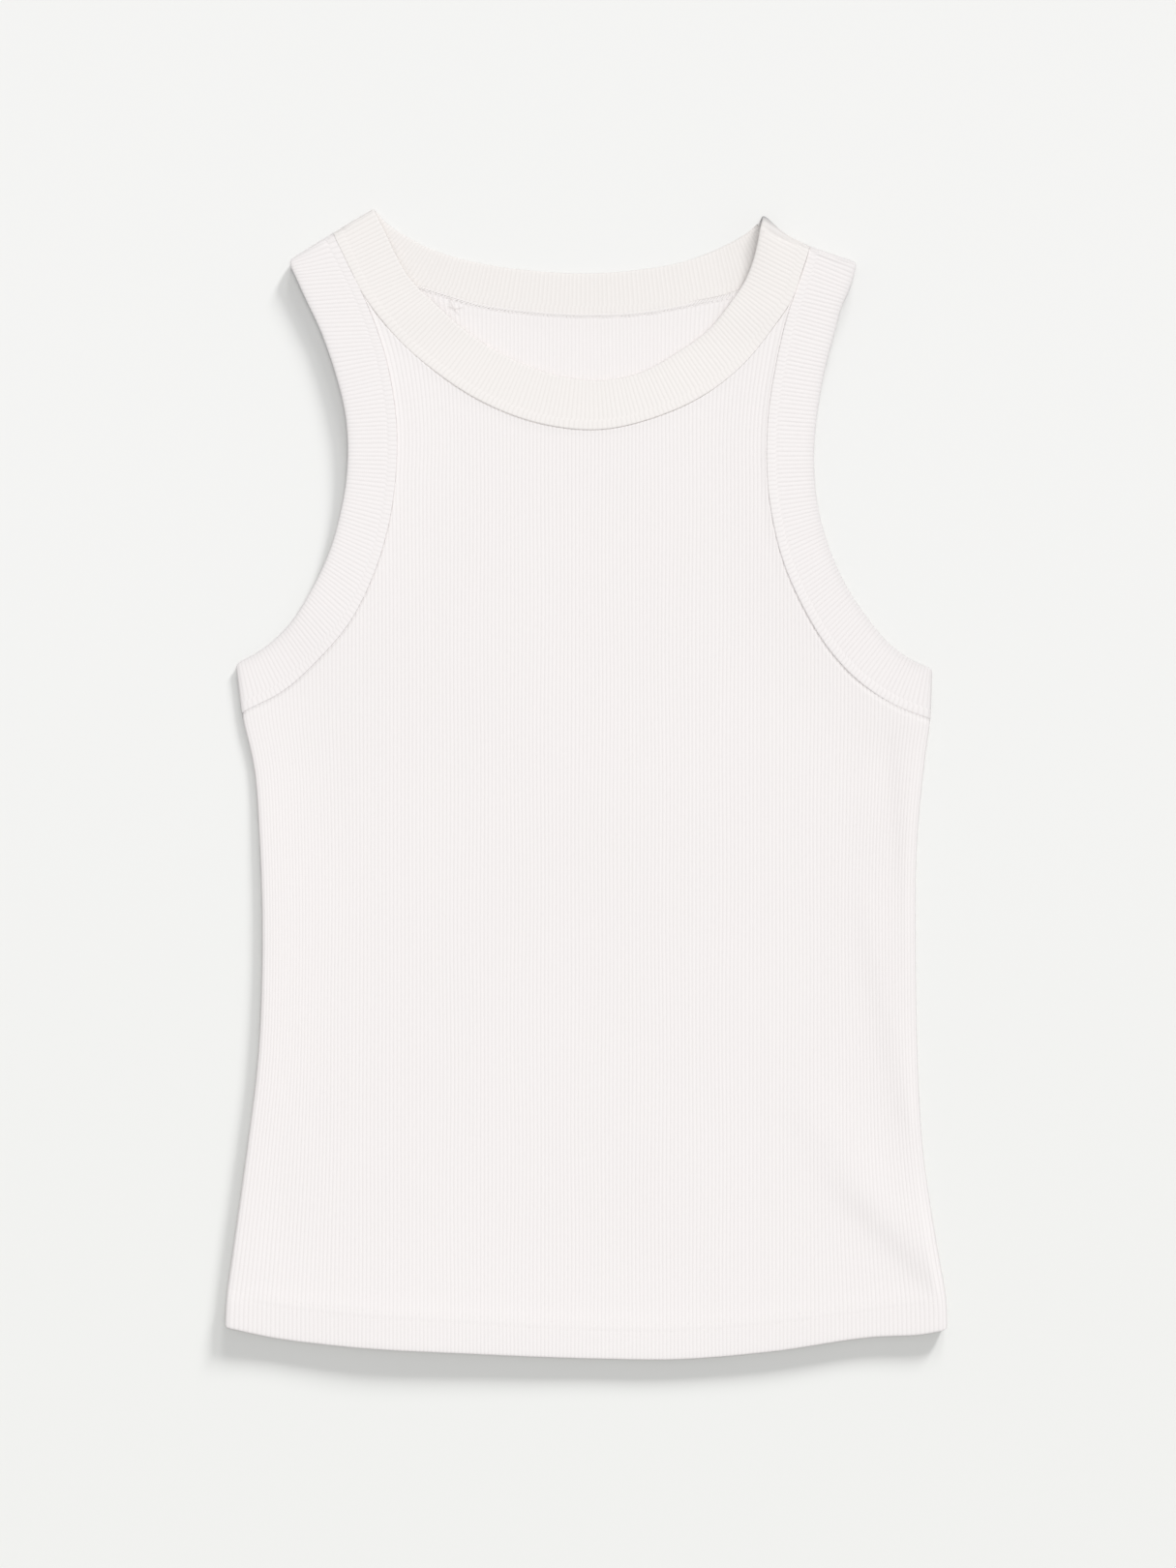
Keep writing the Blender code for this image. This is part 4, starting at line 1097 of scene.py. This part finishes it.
STRAND_PITCH = 1.75
NEEDLE_PITCH = 2.4
strand_starts = np.arange(1.0, rope_way[-1] - 4.0, STRAND_PITCH)
strand_part = np.linspace(0.0, 1.0, 8)
strand_way = strand_starts[:, None] + 3.4 * strand_part
strand_across = (-1.25 + 2.5 * strand_part) * np.ones_like(strand_way)
strand_height = (0.14 * np.sin(math.pi * strand_part) - 0.12) * np.ones_like(strand_way)
threads("back_neck_rope", over_seam(strand_way, strand_across, strand_height), 0.62, 0.3)
needle_starts = np.arange(0.8, rope_way[-1] - 3.0, NEEDLE_PITCH)
needle_way = needle_starts[:, None] + np.linspace(0.0, 1.9, len(ARCH))
flat_out = 0.0 * needle_way
needle_rows = [over_seam(needle_way, across + flat_out, 0.1 - ARCH + flat_out) for across in (-1.5, 1.5)]
threads("back_neck_stitches", np.concatenate(needle_rows), STITCH_RADIUS)

# Two loose thread ends lie beside the rope, and a small loop of thread near the right shoulder fold.
loose_part = np.linspace(0.0, 1.0, 20)
loose_ends = np.array([
    [(-74.1, 263.6, 2.85), (-72.4, 257.9, 2.1), (-68.9, 252.7, 1.65)],
    [(-75.0, 257.6, 2.1), (-71.0, 256.3, 2.0), (-66.5, 257.0, 2.0)],
])
threads(
    "loose_thread_ends",
    np.stack([soft_curve(np.array([0.0, 0.5, 1.0]), end, loose_part) for end in loose_ends]),
    0.16,
)
loop_turn = 0.8 + loose_part * 5.0
loop_points = np.stack([94.5 + 0.85 * np.cos(loop_turn), 295.9 + 0.65 * np.sin(loop_turn)], axis=-1)[None]
threads("thread_loop", neck_front_points(loop_points, -0.32 + 0.0 * loop_points[..., 0]), 0.17)


# ---- The floor, the lamps and the camera ----
# A pale studio floor, a white room's even light, a broad lamp overhead and a soft one on the upper
# right that the floor leaves out. Two low lamps light only the floor, for the long soft shadow.
# The camera looks straight down.

floor_mesh = bpy.data.meshes.new("floor")
floor_corners = [(-2.5, -2.5, -0.0002), (2.5, -2.5, -0.0002), (2.5, 2.5, -0.0002), (-2.5, 2.5, -0.0002)]
floor_mesh.from_pydata(floor_corners, [], [(0, 1, 2, 3)])
floor = bpy.data.objects.new("floor", floor_mesh)
bpy.context.scene.collection.objects.link(floor)

floor_paint, floor_shader, floor_start = new_material("floor_paint", 0.9, 0.1)
floor_place = floor_start.node("ShaderNodeTexCoord", {}, {}, "Object")
grain = floor_start.node("ShaderNodeTexNoise", {}, {"Vector": floor_place, "Scale": 3.0, "Detail": 4.0})
floor_y = floor_start.node("ShaderNodeSeparateXYZ", {}, {0: floor_place}, 1)
softly = {"interpolation_type": "SMOOTHSTEP"}
# Painted shade: the floor's colour darkens towards the hem's side, a painted falloff of the light.
painted_falloff_towards_hem = floor_start.node("ShaderNodeMapRange", softly, {0: floor_y, 1: 0.25, 2: -0.45})
lit_floor = grain.mix((0.636, 0.637, 0.627), (0.642, 0.641, 0.633))
painted_falloff_towards_hem.mix(lit_floor, (0.622, 0.624, 0.610)).drive(floor_shader, "Base Color")
floor.data.materials.append(floor_paint)

world = bpy.data.worlds.new("white_room")
bpy.context.scene.world = world
world.use_nodes = True
room = world.node_tree.nodes["Background"]
room.inputs["Color"].default_value = (1.0, 1.0, 1.0, 1.0)
room_start = Shade(world.node_tree)
way_up = room_start.node("ShaderNodeTexCoord", {}, {}, "Generated")
rise = room_start.node("ShaderNodeSeparateXYZ", {}, {0: way_up}, 2)
glow = room_start.node("ShaderNodeMapRange", softly, {0: rise, 2: 0.07, 3: 0.86, 4: 0.57})
glow.drive(room, "Strength")


def sun(name, strength, azimuth, elevation, softness):
    """A distant lamp, from azimuth degrees round from +x and elevation degrees up."""
    lamp = bpy.data.lights.new(name, "SUN")
    lamp.energy = strength
    lamp.angle = math.radians(softness)
    made = bpy.data.objects.new(name, lamp)
    made.rotation_euler = (0.0, math.radians(90.0 - elevation), math.radians(azimuth))
    bpy.context.scene.collection.objects.link(made)
    return made


sun("overhead_lamp", 1.11, 60.0, 84.0, 36.0)
soft_key = sun("soft_key", 0.68, 52.0, 40.0, 14.0)
low_lamp = sun("low_lamp", 4.5, 60.0, 15.4, 10.5)
top_lamp = sun("top_lamp", 1.25, 81.0, 17.0, 12.0)
floor_only = bpy.data.collections.new("floor_only")
floor_only.objects.link(floor)
for lamp in (low_lamp, top_lamp):
    lamp.light_linking.receiver_collection = floor_only
all_but_floor = bpy.data.collections.new("all_but_floor")
all_but_floor.objects.link(floor)
all_but_floor.collection_objects[0].light_linking.link_state = "EXCLUDE"
soft_key.light_linking.receiver_collection = all_but_floor

view_camera = bpy.data.cameras.new("camera")
view_camera.sensor_fit = "VERTICAL"
view_camera.angle = 2.0 * math.atan(0.4212 / 1.996)
camera = bpy.data.objects.new("camera", view_camera)
camera.location = (0.00089, 0.00042, 2.0)
bpy.context.scene.collection.objects.link(camera)
bpy.context.scene.camera = camera
bpy.context.scene.view_settings.view_transform = "Standard"
